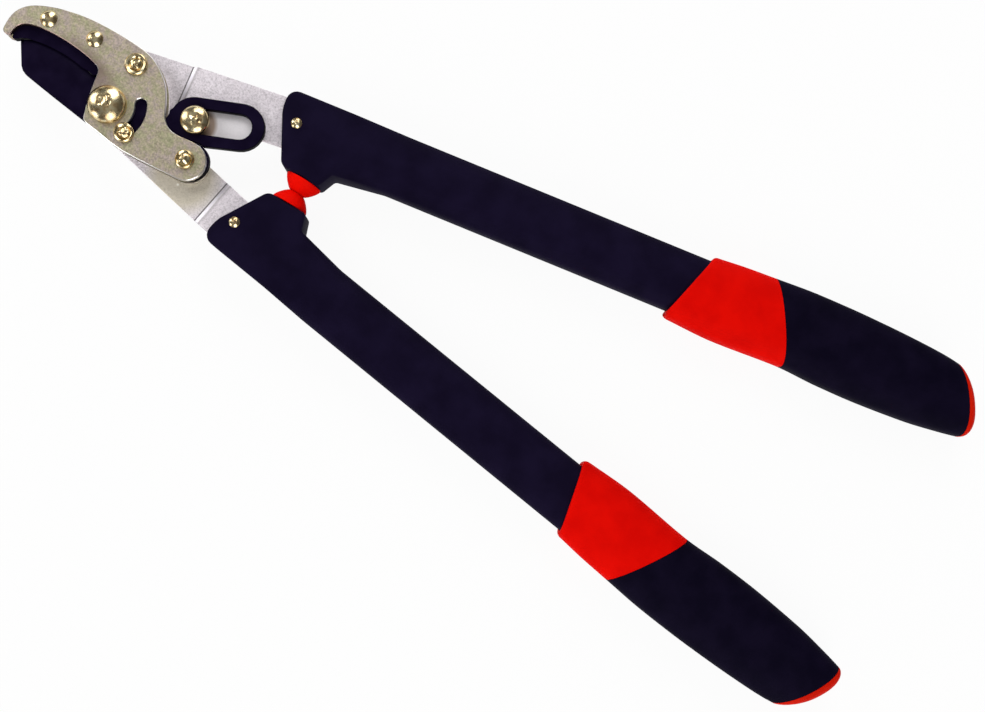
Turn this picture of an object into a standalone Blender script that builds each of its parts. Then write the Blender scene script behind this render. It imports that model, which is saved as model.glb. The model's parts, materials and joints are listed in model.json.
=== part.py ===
"""Compound action anvil lopper, closed, lying flat.

Metres, +Z up. The origin is on the main pivot's axis, in the plane that the tool
rests on. +X runs from the head to the grips along the midline of the two handles,
+Y points to the moving handle, and the front plate faces +Z.

The two side plates carry the anvil between them, and the blade turns on the main
pivot in the same layer. The moving handle's strap turns on the handle pivot. Its
drive roller runs in the slot of the blade's loop and so swings the blade. The fixed
handle's strap is held by the main pivot and the lobe rivet.
"""
import math

import bmesh
import bpy
from mathutils import Matrix

MM = 0.001

# Running clearance between pieces that touch or turn on each other
GAP = 0.3 * MM

# Layers, from the resting plane up
NUT_HEIGHT = 8.0 * MM
WASHER_THICK = 1.6 * MM
STRAP_THICK = 5.0 * MM
PLATE_THICK = 3.0 * MM
BLADE_THICK = 4.5 * MM

NUT_Z = 0.0
WASHER_Z = NUT_Z + NUT_HEIGHT + GAP
STRAP_Z = WASHER_Z + WASHER_THICK + GAP
REAR_PLATE_Z = STRAP_Z + STRAP_THICK + GAP
BLADE_Z = REAR_PLATE_Z + PLATE_THICK + GAP
FRONT_PLATE_Z = BLADE_Z + BLADE_THICK + GAP
FRONT_FACE_Z = FRONT_PLATE_Z + PLATE_THICK
JOGGLE_STEP = PLATE_THICK + GAP
HANDLE_Z = STRAP_Z + STRAP_THICK / 2 + JOGGLE_STEP

# Places of the pins, seen from the front, with the main pivot at (0, 0)
HANDLE_PIVOT = (1.4 * MM, 30.7 * MM)
LOBE_RIVET = (58.4 * MM, -4.7 * MM)
STOP_PIN_RADIUS = 20.3 * MM
STOP_PIN_ANGLE = -28.4
DRIVE_STUD = (49.8 * MM, 19.8 * MM)
ANVIL_RIVETS = ((-59.9 * MM, 27.5 * MM), (-29.0 * MM, 31.2 * MM))

# Shanks and heads
BOLT_RADIUS = 5.0 * MM
BOLT_LEAD = 0.7 * MM
BOLT_HEAD_RADIUS = 12.0 * MM
BOLT_HEAD_HEIGHT = 7.0 * MM
NUT_ACROSS_FLATS = 17.0 * MM
NUT_CHAMFER = 0.7 * MM
WASHER_RADIUS = 11.0 * MM
RIVET_RADIUS = 3.0 * MM
PIVOT_RIVET_HEAD = 7.1 * MM
LOBE_RIVET_HEAD = 6.0 * MM
STOP_PIN_HEAD = 6.3 * MM
RIVET_HEAD_HEIGHT = 1.7 * MM
REAR_HEAD_HEIGHT = 2.4 * MM
PEEN_RADIUS = 3.7 * MM
PEEN_HEIGHT = 1.5 * MM
HEAD_SIDE_SHARE = 0.5
HEAD_FACE_SHARE = 0.88
BUSH_RADIUS = 5.0 * MM
STOP_PIN_SHANK = 3.4 * MM
ANVIL_RIVET_RADIUS = 2.5 * MM
ANVIL_RIVET_HEAD = 5.3 * MM
ANVIL_RIVET_DOME = 2.6 * MM
STUD_RADIUS = 4.0 * MM
STUD_HEAD_RADIUS = 9.2 * MM
STUD_HEAD_HEIGHT = 5.0 * MM
STUD_FOOT_RADIUS = 6.0 * MM
STUD_FOOT_HEIGHT = 2.2 * MM
HEAD_RIM = 0.9 * MM
ROLLER_RADIUS = 6.4 * MM
HANDLE_RIVET_RADIUS = 2.0 * MM
HANDLE_RIVET_HEAD = 3.5 * MM
HANDLE_RIVET_DOME = 1.8 * MM

# Blade and anvil; the angles are about the main pivot, but the notch's are about the
# opened handle pivot, the seat's about the spacer and the pin side's about the stop pin
BLADE_TRAVEL = 60.0
SLOT_HALF_WIDTH = 8.05 * MM
SLOT_LENGTH = 27.2 * MM
SLOT_ANGLE = 22.8
SLOT_LEAD = 1.2 * MM
LOOP_RADIUS = 14.9 * MM
LOOP_END_LEAD = 1.0 * MM
HUB_RADIUS = 21.5 * MM
SHIELD_RADIUS = 24.8 * MM
NOTCH_RADIUS = 6.5 * MM
HEEL_GAP = 0.45 * MM
HEEL_START = 145.5
HEEL_END = 129.0
HUB_START = 147.0
HUB_END = 62.0
SHIELD_START = 57.0
SHIELD_END = 33.0
NOTCH_START = 194.0
NOTCH_END = 390.0
SEAT_START = 78.0
SEAT_END = 126.0
PIN_SIDE_START = -50.0
PIN_SIDE_END = -100.0
NOSE_X = -69.4 * MM
NOSE_DROP = 1.2 * MM
BEVEL_WIDTH = 4.5 * MM
BEVEL_END_WIDTH = 2.0 * MM
EDGE_THICK = 0.6 * MM
SEAT_REACH = 1.1 * MM
SEAT_DEPTH = 1.6 * MM
SEAT_FLOOR = 0.5 * MM
SEAT_RUN_OUT = 2
PIN_WALL = 4.0 * MM

# Side plates
STOP_MARGIN = 1.0
LOBE_RADIUS = 12.2 * MM
LOBE_SHIFT = (1.2 * MM, -0.3 * MM)
SPACER_RADIUS = 12.2 * MM
SPACER_SHIFT = (1.7 * MM, 0.9 * MM)
ARC_SLOT_HALF_WIDTH = 3.75 * MM

# The straps and the handles are mirrored across one midline
MIDLINE_Y = 13.8 * MM
STRAP_WIDTH = 31.0 * MM
STRAP_TILT = 12.2
STRAP_OFFSET = 14.0 * MM
STRAP_END_RADIUS = 10.0 * MM
EAR_RADIUS = 9.9 * MM
EAR_FOOT_X = 83.5 * MM
EAR_FOOT_DROP = 7.5 * MM
EAR_START = 288.0
EAR_END = 259.0
EAR_RISE = 5.2 * MM
EAR_FOOT_CURVE = 7.0 * MM
EAR_ROOT_CURVE = 4.0 * MM
STRAP_END_TURN = 160.0
JOGGLE_RAMP = 4.6 * MM
JOGGLE_FOLDS = (0.0, 0.2, 0.8, 1.0)
JOGGLE_LEAN = 9.0
UPPER_JOGGLE_X = 30.4 * MM
LOWER_JOGGLE_X = 82.6 * MM
HANDLE_RIVET = (105.3 * MM, 49.9 * MM)
TONGUE_WIDTH = 20.0 * MM
TONGUE_START_X = 114.0 * MM
TONGUE_END_X = 150.0 * MM
TONGUE_STEP = 2.0 * MM
TONGUE_ROOT = 1.5 * MM
TONGUE_CORNER = 4.0 * MM
POCKET_MOUTH_X = 75.2 * MM
CUT_MARGIN = 2.0 * MM

HANDLE_TILT = 8.4
HANDLE_MEET_X = -145.6 * MM
HANDLE_STAGGER = 1.2 * MM
HANDLE_THICK = 24.0 * MM
SHAFT_HALF_WIDTH = 19.4 * MM
COLLAR_HALF_WIDTH = 18.5 * MM
SHAFT_EDGE = 8.0 * MM
COLLAR_EDGE = 2.5 * MM
COLLAR_START = 242.2 * MM
COLLAR_END = 287.2 * MM
NECK_DEPTH = 3.0 * MM
NECK_CURVE = 60.0 * MM
EDGE_BLEND = 33.0 * MM
SHOULDER_START_X = 111.4 * MM
SHOULDER_END_X = 138.0 * MM
SHOULDER_HEIGHT = 9.1 * MM
COLLAR_OUTER_CURVE = 7.0 * MM
COLLAR_SLANT_V = 5.0 * MM
COLLAR_SLANT_CURVE = 24.0 * MM
SHOULDER_START_CURVE = 6.0 * MM
SHOULDER_END_CURVE = 3.2 * MM
COLLAR_END_CURVE = 3.0 * MM
CORE_HALF_WIDTH = 16.0 * MM
CORE_TAPER_START = 532.0 * MM
CORE_TAPER_END = 582.0 * MM

BUMPER_X = 125.6 * MM
BUMPER_RADIUS = 11.7 * MM
BUMPER_FLAT = 5.0 * MM
BUMPER_RIM = 0.8 * MM
BUMPER_TAPER = 1.6
STEM_RADIUS = 4.0 * MM
STEM_LENGTH = 8.0 * MM

# Grip, along the handle's own axis from the point where the two axes meet
SLEEVE_START = 518.9 * MM
SLEEVE_SLANT = 7.2 * MM
SLEEVE_END = 581.7 * MM
SLEEVE_END_SLANT = -9.2 * MM
SLEEVE_END_BOW = -3.0 * MM
GRIP_END = 704.4 * MM
GRIP_END_SLANT = -9.2 * MM
GRIP_END_BOW = -4.4 * MM
SLEEVE_LIP = ((0.0, 0.972), (0.7 * MM, 0.99), (2.0 * MM, 1.0))
GRIP_BORE_START = 600.0 * MM
CAP_BULGE = 4.2 * MM
CAP_DEPTH = 22.2 * MM
CORE_END = GRIP_END - CAP_DEPTH
CAP_TURN = 84.0
GRIP_SQUARENESS = 3.0

FACETS = 20
BORE_FACETS = 16
EDGE_STEPS = 3
GRIP_STEPS = 4
NIP = 0.35 * MM


def at(point, angle=0.0, reach=0.0):
    """The place that lies reach away from point at angle degrees."""
    a = math.radians(angle)
    return (point[0] + reach * math.cos(a), point[1] + reach * math.sin(a))


def arc(centre, radius, start, end, steps):
    """Points along an arc, both ends included, in degrees."""
    turn = (end - start) / steps
    return [at(centre, start + turn * i, radius) for i in range(steps + 1)]


def circle(centre, radius, steps=FACETS):
    return arc(centre, radius, 0.0, 360.0 - 360.0 / steps, steps - 1)


def bore(centre, shank_radius):
    """The outline of a running bore round a shank."""
    return circle(centre, shank_radius + GAP, BORE_FACETS)


def smooth(points, steps=4):
    """A Catmull-Rom curve through points, both ends included."""
    padded = [points[0]] + list(points) + [points[-1]]
    result = []
    for i in range(len(points) - 1):
        a, b, c, d = padded[i:i + 4]
        for k in range(steps):
            t = k / steps
            result.append(tuple(
                b[n] + 0.5 * t * (c[n] - a[n]
                                  + t * (2 * a[n] - 5 * b[n] + 4 * c[n] - d[n]
                                         + t * (3 * (b[n] - c[n]) + d[n] - a[n])))
                for n in (0, 1)))
    result.append(tuple(points[-1]))
    return result


def mm(points):
    return [(x * MM, y * MM) for x, y in points]


def shifted(points, origin):
    return [(x + origin[0], y + origin[1]) for x, y in points]


def rounded(corners, steps=5):
    """A closed outline from (x, y, radius) corners; a radius of 0 stays sharp."""
    result = []
    count = len(corners)
    for i, (x, y, radius) in enumerate(corners):
        px, py, _ = corners[i - 1]
        nx, ny, _ = corners[(i + 1) % count]
        if radius == 0.0:
            result.append((x, y))
            continue
        back = math.atan2(py - y, px - x)
        ahead = math.atan2(ny - y, nx - x)
        half = (ahead - back + math.pi) % (2 * math.pi) - math.pi
        reach = radius / abs(math.tan(half / 2))
        start = at((x, y), math.degrees(back), reach)
        middle = back + half / 2
        centre = at((x, y), math.degrees(middle), radius / abs(math.sin(half / 2)))
        first = math.atan2(start[1] - centre[1], start[0] - centre[0])
        sweep = -math.copysign(math.pi - abs(half), half)
        for k in range(steps + 1):
            angle = math.degrees(first + sweep * k / steps)
            result.append(at(centre, angle, radius))
    return result


def tidy(points):
    """Drop repeated points and turn the outline counterclockwise."""
    kept = []
    for point in points:
        if not kept or math.dist(point, kept[-1]) > 1e-6:
            kept.append(point)
    if math.dist(kept[0], kept[-1]) < 1e-6:
        kept.pop()
    area = sum(a[0] * b[1] - b[0] * a[1] for a, b in zip(kept, kept[1:] + kept[:1]))
    if area < 0:
        kept.reverse()
    return kept


def inset(points, amounts):
    """Move each point of a counterclockwise outline inwards by its own amount."""
    result = []
    count = len(points)
    for i, (x, y) in enumerate(points):
        ax, ay = points[i - 1]
        bx, by = points[(i + 1) % count]
        first = math.atan2(y - ay, x - ax)
        second = math.atan2(by - y, bx - x)
        turn = (second - first + math.pi) % (2 * math.pi) - math.pi
        normal = first + turn / 2 + math.pi / 2
        reach = amounts[i] / max(math.cos(turn / 2), 0.5)
        result.append((x + reach * math.cos(normal), y + reach * math.sin(normal)))
    return result


def material(name, colour, roughness, metallic=0.0):
    surface = bpy.data.materials.new(name)
    surface.use_nodes = True
    shader = surface.node_tree.nodes["Principled BSDF"]
    shader.inputs["Base Color"].default_value = (*colour, 1.0)
    shader.inputs["Roughness"].default_value = roughness
    shader.inputs["Metallic"].default_value = metallic
    return surface


def plate_steel(name):
    return material(name, (0.40, 0.39, 0.33), 0.35, 1.0)


def strap_steel(name):
    return material(name, (0.52, 0.50, 0.51), 0.5, 1.0)


def zinc(name):
    return material(name, (0.75, 0.66, 0.42), 0.2, 1.0)


def coated_steel(name):
    return material(name, (0.008, 0.006, 0.014), 0.45)


def nylon(name):
    return material(name, (0.010, 0.008, 0.018), 0.55)


def red_rubber(name):
    return material(name, (0.80, 0.02, 0.008), 0.5)


def black_rubber(name):
    return material(name, (0.009, 0.007, 0.015), 0.75)


def finish(name, bm, surface, pivot=(0.0, 0.0), parent=None, angle=35.0):
    """Turn a bmesh in world coordinates into a named object on its pivot."""
    bm.normal_update()
    bmesh.ops.recalc_face_normals(bm, faces=bm.faces)
    mesh = bpy.data.meshes.new(name)
    shift = Matrix.Translation((-pivot[0], -pivot[1], 0.0))
    bm.transform(shift)
    bm.to_mesh(mesh)
    bm.free()
    mesh.shade_smooth()
    mesh.set_sharp_from_angle(angle=math.radians(angle))
    obj = bpy.data.objects.new(name, mesh)
    bpy.context.scene.collection.objects.link(obj)
    mesh.materials.append(surface(name + "_finish"))
    obj.location = (pivot[0], pivot[1], 0.0)
    if parent:
        obj.parent = parent
        obj.matrix_parent_inverse = Matrix.Translation(parent.location).inverted()
    return obj


def joint_empty(name, place):
    """An empty on a joint's axis, which carries the pieces that move on it."""
    empty = bpy.data.objects.new(name, None)
    empty.empty_display_size = 10 * MM
    empty.location = (place[0], place[1], 0.0)
    bpy.context.scene.collection.objects.link(empty)
    return empty


def walls(bm, rings):
    """Join closed rings of equal length with quads and return them as vertices."""
    levels = [[bm.verts.new(p) for p in ring] for ring in rings]
    count = len(levels[0])
    for low, high in zip(levels, levels[1:]):
        for i in range(count):
            j = (i + 1) % count
            bm.faces.new((low[i], low[j], high[j], high[i]))
    return levels


def level(points, heights):
    return [(x, y, z) for (x, y), z in zip(points, heights)]


def ring_edges(bm, ring):
    return [bm.edges.get((a, b)) for a, b in zip(ring, ring[1:] + ring[:1])]


def flat_body(outline, bottom, top, nips=(NIP, NIP), holes=(), bores=()):
    """A flat piece whose lower and upper edges are nipped by the two amounts.

    Holes have nipped edges as well, and bores are plain. Both go right through.
    """
    outline = tidy(outline)
    count = len(outline)
    low, high = nips
    rings = []
    if low:
        rings.append(level(inset(outline, [low] * count), [bottom] * count))
    rings.append(level(outline, [bottom + low] * count))
    rings.append(level(outline, [top - high] * count))
    if high:
        rings.append(level(inset(outline, [high] * count), [top] * count))
    return capped_body(rings, bottom, top, holes, bores)


def prism(outline, bottom, top):
    """A plain straight-sided body."""
    return flat_body(outline, bottom, top, (0.0, 0.0))


def capped_body(rings, bottom, top, holes=(), bores=()):
    """Walls through rings, closed by flat caps that the holes and bores pass through."""
    bm = bmesh.new()
    stacks = [walls(bm, rings)]
    for hole in holes:
        edge = tidy(hole)
        wide = inset(edge, [-NIP] * len(edge))
        count = len(edge)
        stacks.append(walls(bm, [
            level(wide, [bottom] * count),
            level(edge, [bottom + NIP] * count),
            level(edge, [top - NIP] * count),
            level(wide, [top] * count),
        ]))
    for ring in bores:
        edge = tidy(ring)
        count = len(edge)
        stacks.append(walls(bm, [level(edge, [bottom] * count), level(edge, [top] * count)]))
    for end in (0, -1):
        edges = [edge for stack in stacks for edge in ring_edges(bm, stack[end])]
        bmesh.ops.triangle_fill(bm, use_beauty=True, edges=edges, normal=(0, 0, 1))
    return bm


def turned_body(profile, centre, steps=FACETS):
    """Turn an (r, z) profile that starts and ends on the axis about a vertical."""
    bm = bmesh.new()
    points = [bm.verts.new((r, 0.0, z)) for r, z in profile]
    line = [bm.edges.new(pair) for pair in zip(points, points[1:])]
    bmesh.ops.spin(bm, geom=points + line, cent=(0, 0, 0), axis=(0, 0, 1),
                   angle=math.tau, steps=steps, use_merge=True)
    bmesh.ops.remove_doubles(bm, verts=bm.verts, dist=1e-6)
    bmesh.ops.translate(bm, verts=bm.verts, vec=(centre[0], centre[1], 0.0))
    return bm


def dome(radius, height, base, steps):
    """The profile of a domed head above base, from its rim up to the axis."""
    points = []
    for k in range(steps):
        a = math.radians(90.0 * k / steps)
        points.append((radius * math.cos(a), base + height * math.sin(a)))
    return points + [(0.0, base + height)]


def mirrored_down(profile, base):
    """A head's profile mirrored to the far side of its seat, axis first."""
    return [(r, 2 * base - z) for r, z in reversed(profile)]


def peened_head(base, radius):
    """A flat rivet head with a round peened nub in its middle."""
    top = base + RIVET_HEAD_HEIGHT
    rim = [(radius, base), (radius, base + HEAD_SIDE_SHARE * RIVET_HEAD_HEIGHT)]
    rim.append((HEAD_FACE_SHARE * radius, top))
    return rim + dome(PEEN_RADIUS, PEEN_HEIGHT, top, 3)


def shank(radius, low, high):
    return [(radius, low), (radius, high)]


def rivet_profile(radius, head, low, high):
    """Two equal heads on one shank; head gives a head's profile above a seat."""
    return mirrored_down(head(low), low) + shank(radius, low, high) + head(high)


def strap_line(x):
    """The Y of the upper strap's centre line at x."""
    return MIDLINE_Y + STRAP_OFFSET + x * math.tan(math.radians(STRAP_TILT))


def strap_edge(x, side):
    half = STRAP_WIDTH / 2 / math.cos(math.radians(STRAP_TILT))
    return (x, strap_line(x) + side * half)


def mirror(points):
    """Mirror points across the midline, from the upper handle to the lower."""
    return [(x, 2 * MIDLINE_Y - y) for x, y in points]


def from_handle(u, v):
    """World place of a point at u along the upper handle's axis and v beside it."""
    a = math.radians(HANDLE_TILT)
    x = HANDLE_MEET_X + u * math.cos(a) - v * math.sin(a)
    y = MIDLINE_Y + u * math.sin(a) + v * math.cos(a)
    return (x, y)


def to_handle(x, y):
    a = math.radians(HANDLE_TILT)
    dx = x - HANDLE_MEET_X
    dy = y - MIDLINE_Y
    return (dx * math.cos(a) + dy * math.sin(a), dy * math.cos(a) - dx * math.sin(a))


STOP_PIN = at((0.0, 0.0), STOP_PIN_ANGLE, STOP_PIN_RADIUS)
LOBE_CENTRE = (LOBE_RIVET[0] + LOBE_SHIFT[0], LOBE_RIVET[1] + LOBE_SHIFT[1])
SPACER_CENTRE = (LOBE_RIVET[0] + SPACER_SHIFT[0], LOBE_RIVET[1] + SPACER_SHIFT[1])
SLOT_START = at(DRIVE_STUD, SLOT_ANGLE, -SLOT_LEAD)
SLOT_END = at(DRIVE_STUD, SLOT_ANGLE, SLOT_LENGTH)

# The line where the blade's edge meets the anvil, from the tip to the heel
CUT_LINE = smooth(mm([(-70.1, 8.4), (-62.0, 12.5), (-50.6, 14.4),
                      (-38.2, 14.7), (-27.0, 13.4), (-19.0, 11.6)]), 4)


def hook_back():
    """The plates' outer edge, from the hook's tip over the handle pivot."""
    hook = mm([(-80.7, 8.4), (-81.1, 14.8), (-80.2, 20.4), (-77.8, 24.9), (-74.0, 28.8),
               (-67.7, 32.5), (-59.0, 36.0), (-50.3, 38.5), (-39.9, 40.5), (-29.5, 41.4),
               (-19.1, 41.7)])
    crown = shifted(mm([(-10.3, 10.8), (-1.6, 10.2), (5.5, 8.8), (11.5, 6.1), (16.7, 2.7),
                        (21.9, -2.0), (26.3, -8.1), (29.7, -14.2)]), HANDLE_PIVOT)
    return smooth(hook + crown, 2)


def lobe_edge():
    """The plates' edge from the crown's foot round the lobe to its lower side."""
    foot = shifted(mm([(-25.9, 16.6), (-22.4, 13.2), (-17.4, 11.2), (-11.6, 11.0),
                       (-6.3, 11.8)]), LOBE_CENTRE)
    return smooth(foot, 3) + arc(LOBE_CENTRE, LOBE_RADIUS, 92.0, -84.0, 12)


def lower_edge():
    """The plates' edge below the pins and up the left side to the hook's root."""
    return mm([(46.7, -18.3), (33.3, -19.3), (22.7, -19.7), (13.3, -19.0), (6.0, -17.8),
               (-4.6, -16.4), (-6.6, -15.9), (-7.9, -15.0), (-8.7, -13.8), (-11.0, -7.6),
               (-13.2, 0.6), (-14.6, 6.4), (-15.5, 11.2)])


def hook_inside():
    """The plates' inner edge, from the hook's root back to its tip."""
    root = mm([(-16.0, 13.9), (-17.0, 16.0), (-19.1, 17.5)])
    bow = mm([(-19.1, 17.5), (-25.0, 19.2), (-33.5, 20.5), (-43.4, 21.2), (-53.8, 21.0),
              (-62.5, 19.9), (-68.5, 18.2)])
    nose = mm([(-72.4, 16.1), (-74.1, 13.6), (-74.7, 10.5), (-74.9, 7.6), (-75.6, 6.3),
               (-77.4, 5.8), (-79.1, 6.2), (-80.2, 7.2)])
    return root + smooth(bow, 2) + nose


def plate_outline():
    return hook_back() + lobe_edge() + lower_edge() + hook_inside()


def arc_slot():
    """The stop pin's slot, an arc about the main pivot."""
    start = STOP_PIN_ANGLE
    end = STOP_PIN_ANGLE + BLADE_TRAVEL + STOP_MARGIN
    outer = arc((0.0, 0.0), STOP_PIN_RADIUS + ARC_SLOT_HALF_WIDTH, start, end, 10)
    inner = arc((0.0, 0.0), STOP_PIN_RADIUS - ARC_SLOT_HALF_WIDTH, end, start, 10)
    far = at((0.0, 0.0), end, STOP_PIN_RADIUS)
    near = at((0.0, 0.0), start, STOP_PIN_RADIUS)
    far_cap = arc(far, ARC_SLOT_HALF_WIDTH, end, end + 180.0, 6)
    near_cap = arc(near, ARC_SLOT_HALF_WIDTH, start + 180.0, start + 360.0, 6)
    return outer + far_cap[1:-1] + inner + near_cap[1:-1]


def side_plate(name, bottom, nips):
    """A plate whose outer face has rolled edges, as stamping leaves them."""
    bores = [
        bore((0.0, 0.0), BOLT_RADIUS),
        bore(HANDLE_PIVOT, RIVET_RADIUS),
        bore(LOBE_RIVET, RIVET_RADIUS),
    ]
    bores += [bore(place, ANVIL_RIVET_RADIUS) for place in ANVIL_RIVETS]
    top = bottom + PLATE_THICK
    bm = flat_body(plate_outline(), bottom, top, nips, [arc_slot()], bores)
    return finish(name, bm, plate_steel)


def seat_reach(i):
    """How far the seat's lips stand out at the cut line's point i: not at its ends."""
    run = min(i, len(CUT_LINE) - 1 - i) - SEAT_RUN_OUT
    return SEAT_REACH * min(max(run / SEAT_RUN_OUT, 0.0), 1.0)


def anvil():
    """The insert that the blade cuts against, with a shallow seat for its edge."""
    tip = mm([(-71.2, 7.2), (-72.4, 6.3), (-73.6, 6.1), (-74.6, 6.8), (-75.0, 8.4),
              (-74.8, 13.0)])
    back = mm([(-73.0, 19.0), (-68.0, 26.0), (-60.0, 31.4), (-45.0, 35.6), (-30.0, 37.0),
               (-21.0, 35.4), (-17.4, 28.0)])
    heel = arc((0.0, 0.0), HUB_RADIUS + HEEL_GAP, HEEL_START, HEEL_END, 4)
    outline = tidy(CUT_LINE + heel + list(reversed(tip + back)))
    lips = {point: seat_reach(i) for i, point in enumerate(CUT_LINE)}
    lip = inset(outline, [-lips.get(point, 0.0) for point in outline])
    bottom = BLADE_Z
    top = BLADE_Z + BLADE_THICK
    middle = (bottom + top) / 2
    count = len(outline)
    rings = [level(lip, [bottom] * count)]
    rings.append(level(lip, [middle - SEAT_DEPTH] * count))
    rings.append(level(outline, [middle - SEAT_FLOOR] * count))
    rings.append(level(outline, [middle + SEAT_FLOOR] * count))
    rings.append(level(lip, [middle + SEAT_DEPTH] * count))
    rings.append(level(lip, [top] * count))
    bores = [bore(place, ANVIL_RIVET_RADIUS) for place in ANVIL_RIVETS]
    return finish("anvil", capped_body(rings, bottom, top, bores=bores), coated_steel)


def blade_outline():
    """The blade's outline and, for each point, how far its bevel reaches in."""
    edge = [(x, y - GAP) for x, y in CUT_LINE[1:]]
    edge.insert(0, (NOSE_X, CUT_LINE[1][1] - NOSE_DROP))
    hub = arc((0.0, 0.0), HUB_RADIUS, HUB_START, HUB_END, 9)
    shield = arc((0.0, 0.0), SHIELD_RADIUS, SHIELD_START, SHIELD_END, 4)
    turn = math.degrees(math.atan2(HANDLE_PIVOT[1], HANDLE_PIVOT[0])) - BLADE_TRAVEL
    notch_centre = at((0.0, 0.0), turn, math.hypot(*HANDLE_PIVOT))
    notch = arc(notch_centre, NOTCH_RADIUS, NOTCH_START, NOTCH_END, 10)
    side = SLOT_ANGLE + 90.0
    loop_start = arc(SLOT_START, LOOP_RADIUS, 180.0, side, 5)
    end_centre = at(SLOT_END, SLOT_ANGLE, LOOP_END_LEAD)
    loop_end = arc(end_centre, LOOP_RADIUS, side, side - 178.0, 14)
    seat = arc(SPACER_CENTRE, SPACER_RADIUS + GAP, SEAT_START, SEAT_END, 4)
    keep = STOP_PIN_SHANK + GAP + PIN_WALL
    pin_side = arc(STOP_PIN, keep, PIN_SIDE_START, PIN_SIDE_END, 4)
    spine = mm([(0.0, -16.0), (-7.0, -16.0), (-33.0, -12.6), (-48.5, -10.4), (-54.4, -9.5),
                (-57.6, -8.1), (-60.0, -5.9)])
    rest = hub[1:] + shield + notch + loop_start + loop_end + seat + pin_side + spine
    outline = edge + rest
    grind = [BEVEL_WIDTH] * len(edge) + [NIP] * len(rest)
    grind[0] = NIP
    grind[len(edge)] = BEVEL_END_WIDTH
    return outline, grind


def blade_slot():
    side = SLOT_ANGLE + 90.0
    far_cap = arc(SLOT_END, SLOT_HALF_WIDTH, side - 180.0, side, 10)
    near_cap = arc(SLOT_START, SLOT_HALF_WIDTH, side, side + 180.0, 10)
    return far_cap + near_cap


def blade(parent):
    """The blade, with its two ground bevels, tang and slotted loop in one piece."""
    outline, grind = blade_outline()
    outline = list(reversed(outline))
    grind = list(reversed(grind))
    bottom = BLADE_Z
    top = BLADE_Z + BLADE_THICK
    middle = (bottom + top) / 2
    small = inset(outline, grind)
    sharp = [g > NIP for g in grind]
    count = len(outline)
    rings = [
        level(small, [bottom] * count),
        level(outline, [middle - EDGE_THICK / 2 if s else bottom + NIP for s in sharp]),
        level(outline, [middle + EDGE_THICK / 2 if s else top - NIP for s in sharp]),
        level(small, [top] * count),
    ]
    bores = [bore((0.0, 0.0), BOLT_RADIUS), bore(STOP_PIN, STOP_PIN_SHANK)]
    bm = capped_body(rings, bottom, top, [blade_slot()], bores)
    return finish("blade", bm, coated_steel, parent=parent)


def main_pivot():
    """The domed bolt through the head, its washer and its nut."""
    seat = FRONT_FACE_Z + GAP
    profile = [(0.0, NUT_Z), (BOLT_RADIUS - BOLT_LEAD, NUT_Z)]
    profile += shank(BOLT_RADIUS, NUT_Z + BOLT_LEAD, seat) + [(BOLT_HEAD_RADIUS, seat)]
    profile += dome(BOLT_HEAD_RADIUS, BOLT_HEAD_HEIGHT, seat + HEAD_RIM, 6)
    finish("pivot_bolt", turned_body(profile, (0.0, 0.0), 28), zinc)
    bores = [bore((0.0, 0.0), BOLT_RADIUS)]
    ring = circle((0.0, 0.0), WASHER_RADIUS)
    bm = flat_body(ring, WASHER_Z, WASHER_Z + WASHER_THICK, bores=bores)
    finish("pivot_washer", bm, zinc)
    corner = NUT_ACROSS_FLATS / 2 / math.cos(math.radians(30.0))
    nips = (NUT_CHAMFER, NUT_CHAMFER)
    bm = flat_body(circle((0.0, 0.0), corner, 6), NUT_Z, NUT_Z + NUT_HEIGHT, nips, bores=bores)
    finish("pivot_nut", bm, zinc)


def head_rivets():
    """The rivets through the plates, with the bush and the spacer round two of them."""
    low = STRAP_Z - GAP
    high = FRONT_FACE_Z + GAP
    for name, place, radius in (("handle_pivot_rivet", HANDLE_PIVOT, PIVOT_RIVET_HEAD),
                                ("lobe_rivet", LOBE_RIVET, LOBE_RIVET_HEAD)):
        profile = mirrored_down(dome(radius, REAR_HEAD_HEIGHT, low, 3), low)
        profile += shank(RIVET_RADIUS, low, high) + peened_head(high, radius)
        finish(name, turned_body(profile, place), zinc)
    top = BLADE_Z + BLADE_THICK
    bores = [bore(HANDLE_PIVOT, RIVET_RADIUS)]
    bm = flat_body(circle(HANDLE_PIVOT, BUSH_RADIUS), BLADE_Z, top, (0.0, 0.0), bores=bores)
    finish("handle_pivot_bush", bm, zinc)
    bores = [bore(LOBE_RIVET, RIVET_RADIUS)]
    bm = flat_body(circle(SPACER_CENTRE, SPACER_RADIUS, 32), BLADE_Z, top, (0.0, 0.0),
                   bores=bores)
    finish("lobe_spacer", bm, coated_steel)


def anvil_rivets():
    """The two round rivets that hold the anvil between the plates."""
    low = REAR_PLATE_Z - GAP
    high = FRONT_FACE_Z + GAP
    profile = mirrored_down(dome(ANVIL_RIVET_HEAD, ANVIL_RIVET_DOME, low, 3), low)
    profile += shank(ANVIL_RIVET_RADIUS, low, high)
    profile += dome(ANVIL_RIVET_HEAD, ANVIL_RIVET_DOME, high, 4)
    for name, place in zip(("tip_anvil_rivet", "heel_anvil_rivet"), ANVIL_RIVETS):
        finish(name, turned_body(profile, place), zinc)


def stop_pin(parent):
    """The pin fixed in the blade, whose shank runs in the plates' arc slots."""
    high = FRONT_FACE_Z + GAP
    profile = [(0.0, REAR_PLATE_Z)] + shank(STOP_PIN_SHANK, REAR_PLATE_Z, high)
    profile += peened_head(high, STOP_PIN_HEAD)
    finish("stop_pin", turned_body(profile, STOP_PIN), zinc, parent=parent)


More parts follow.
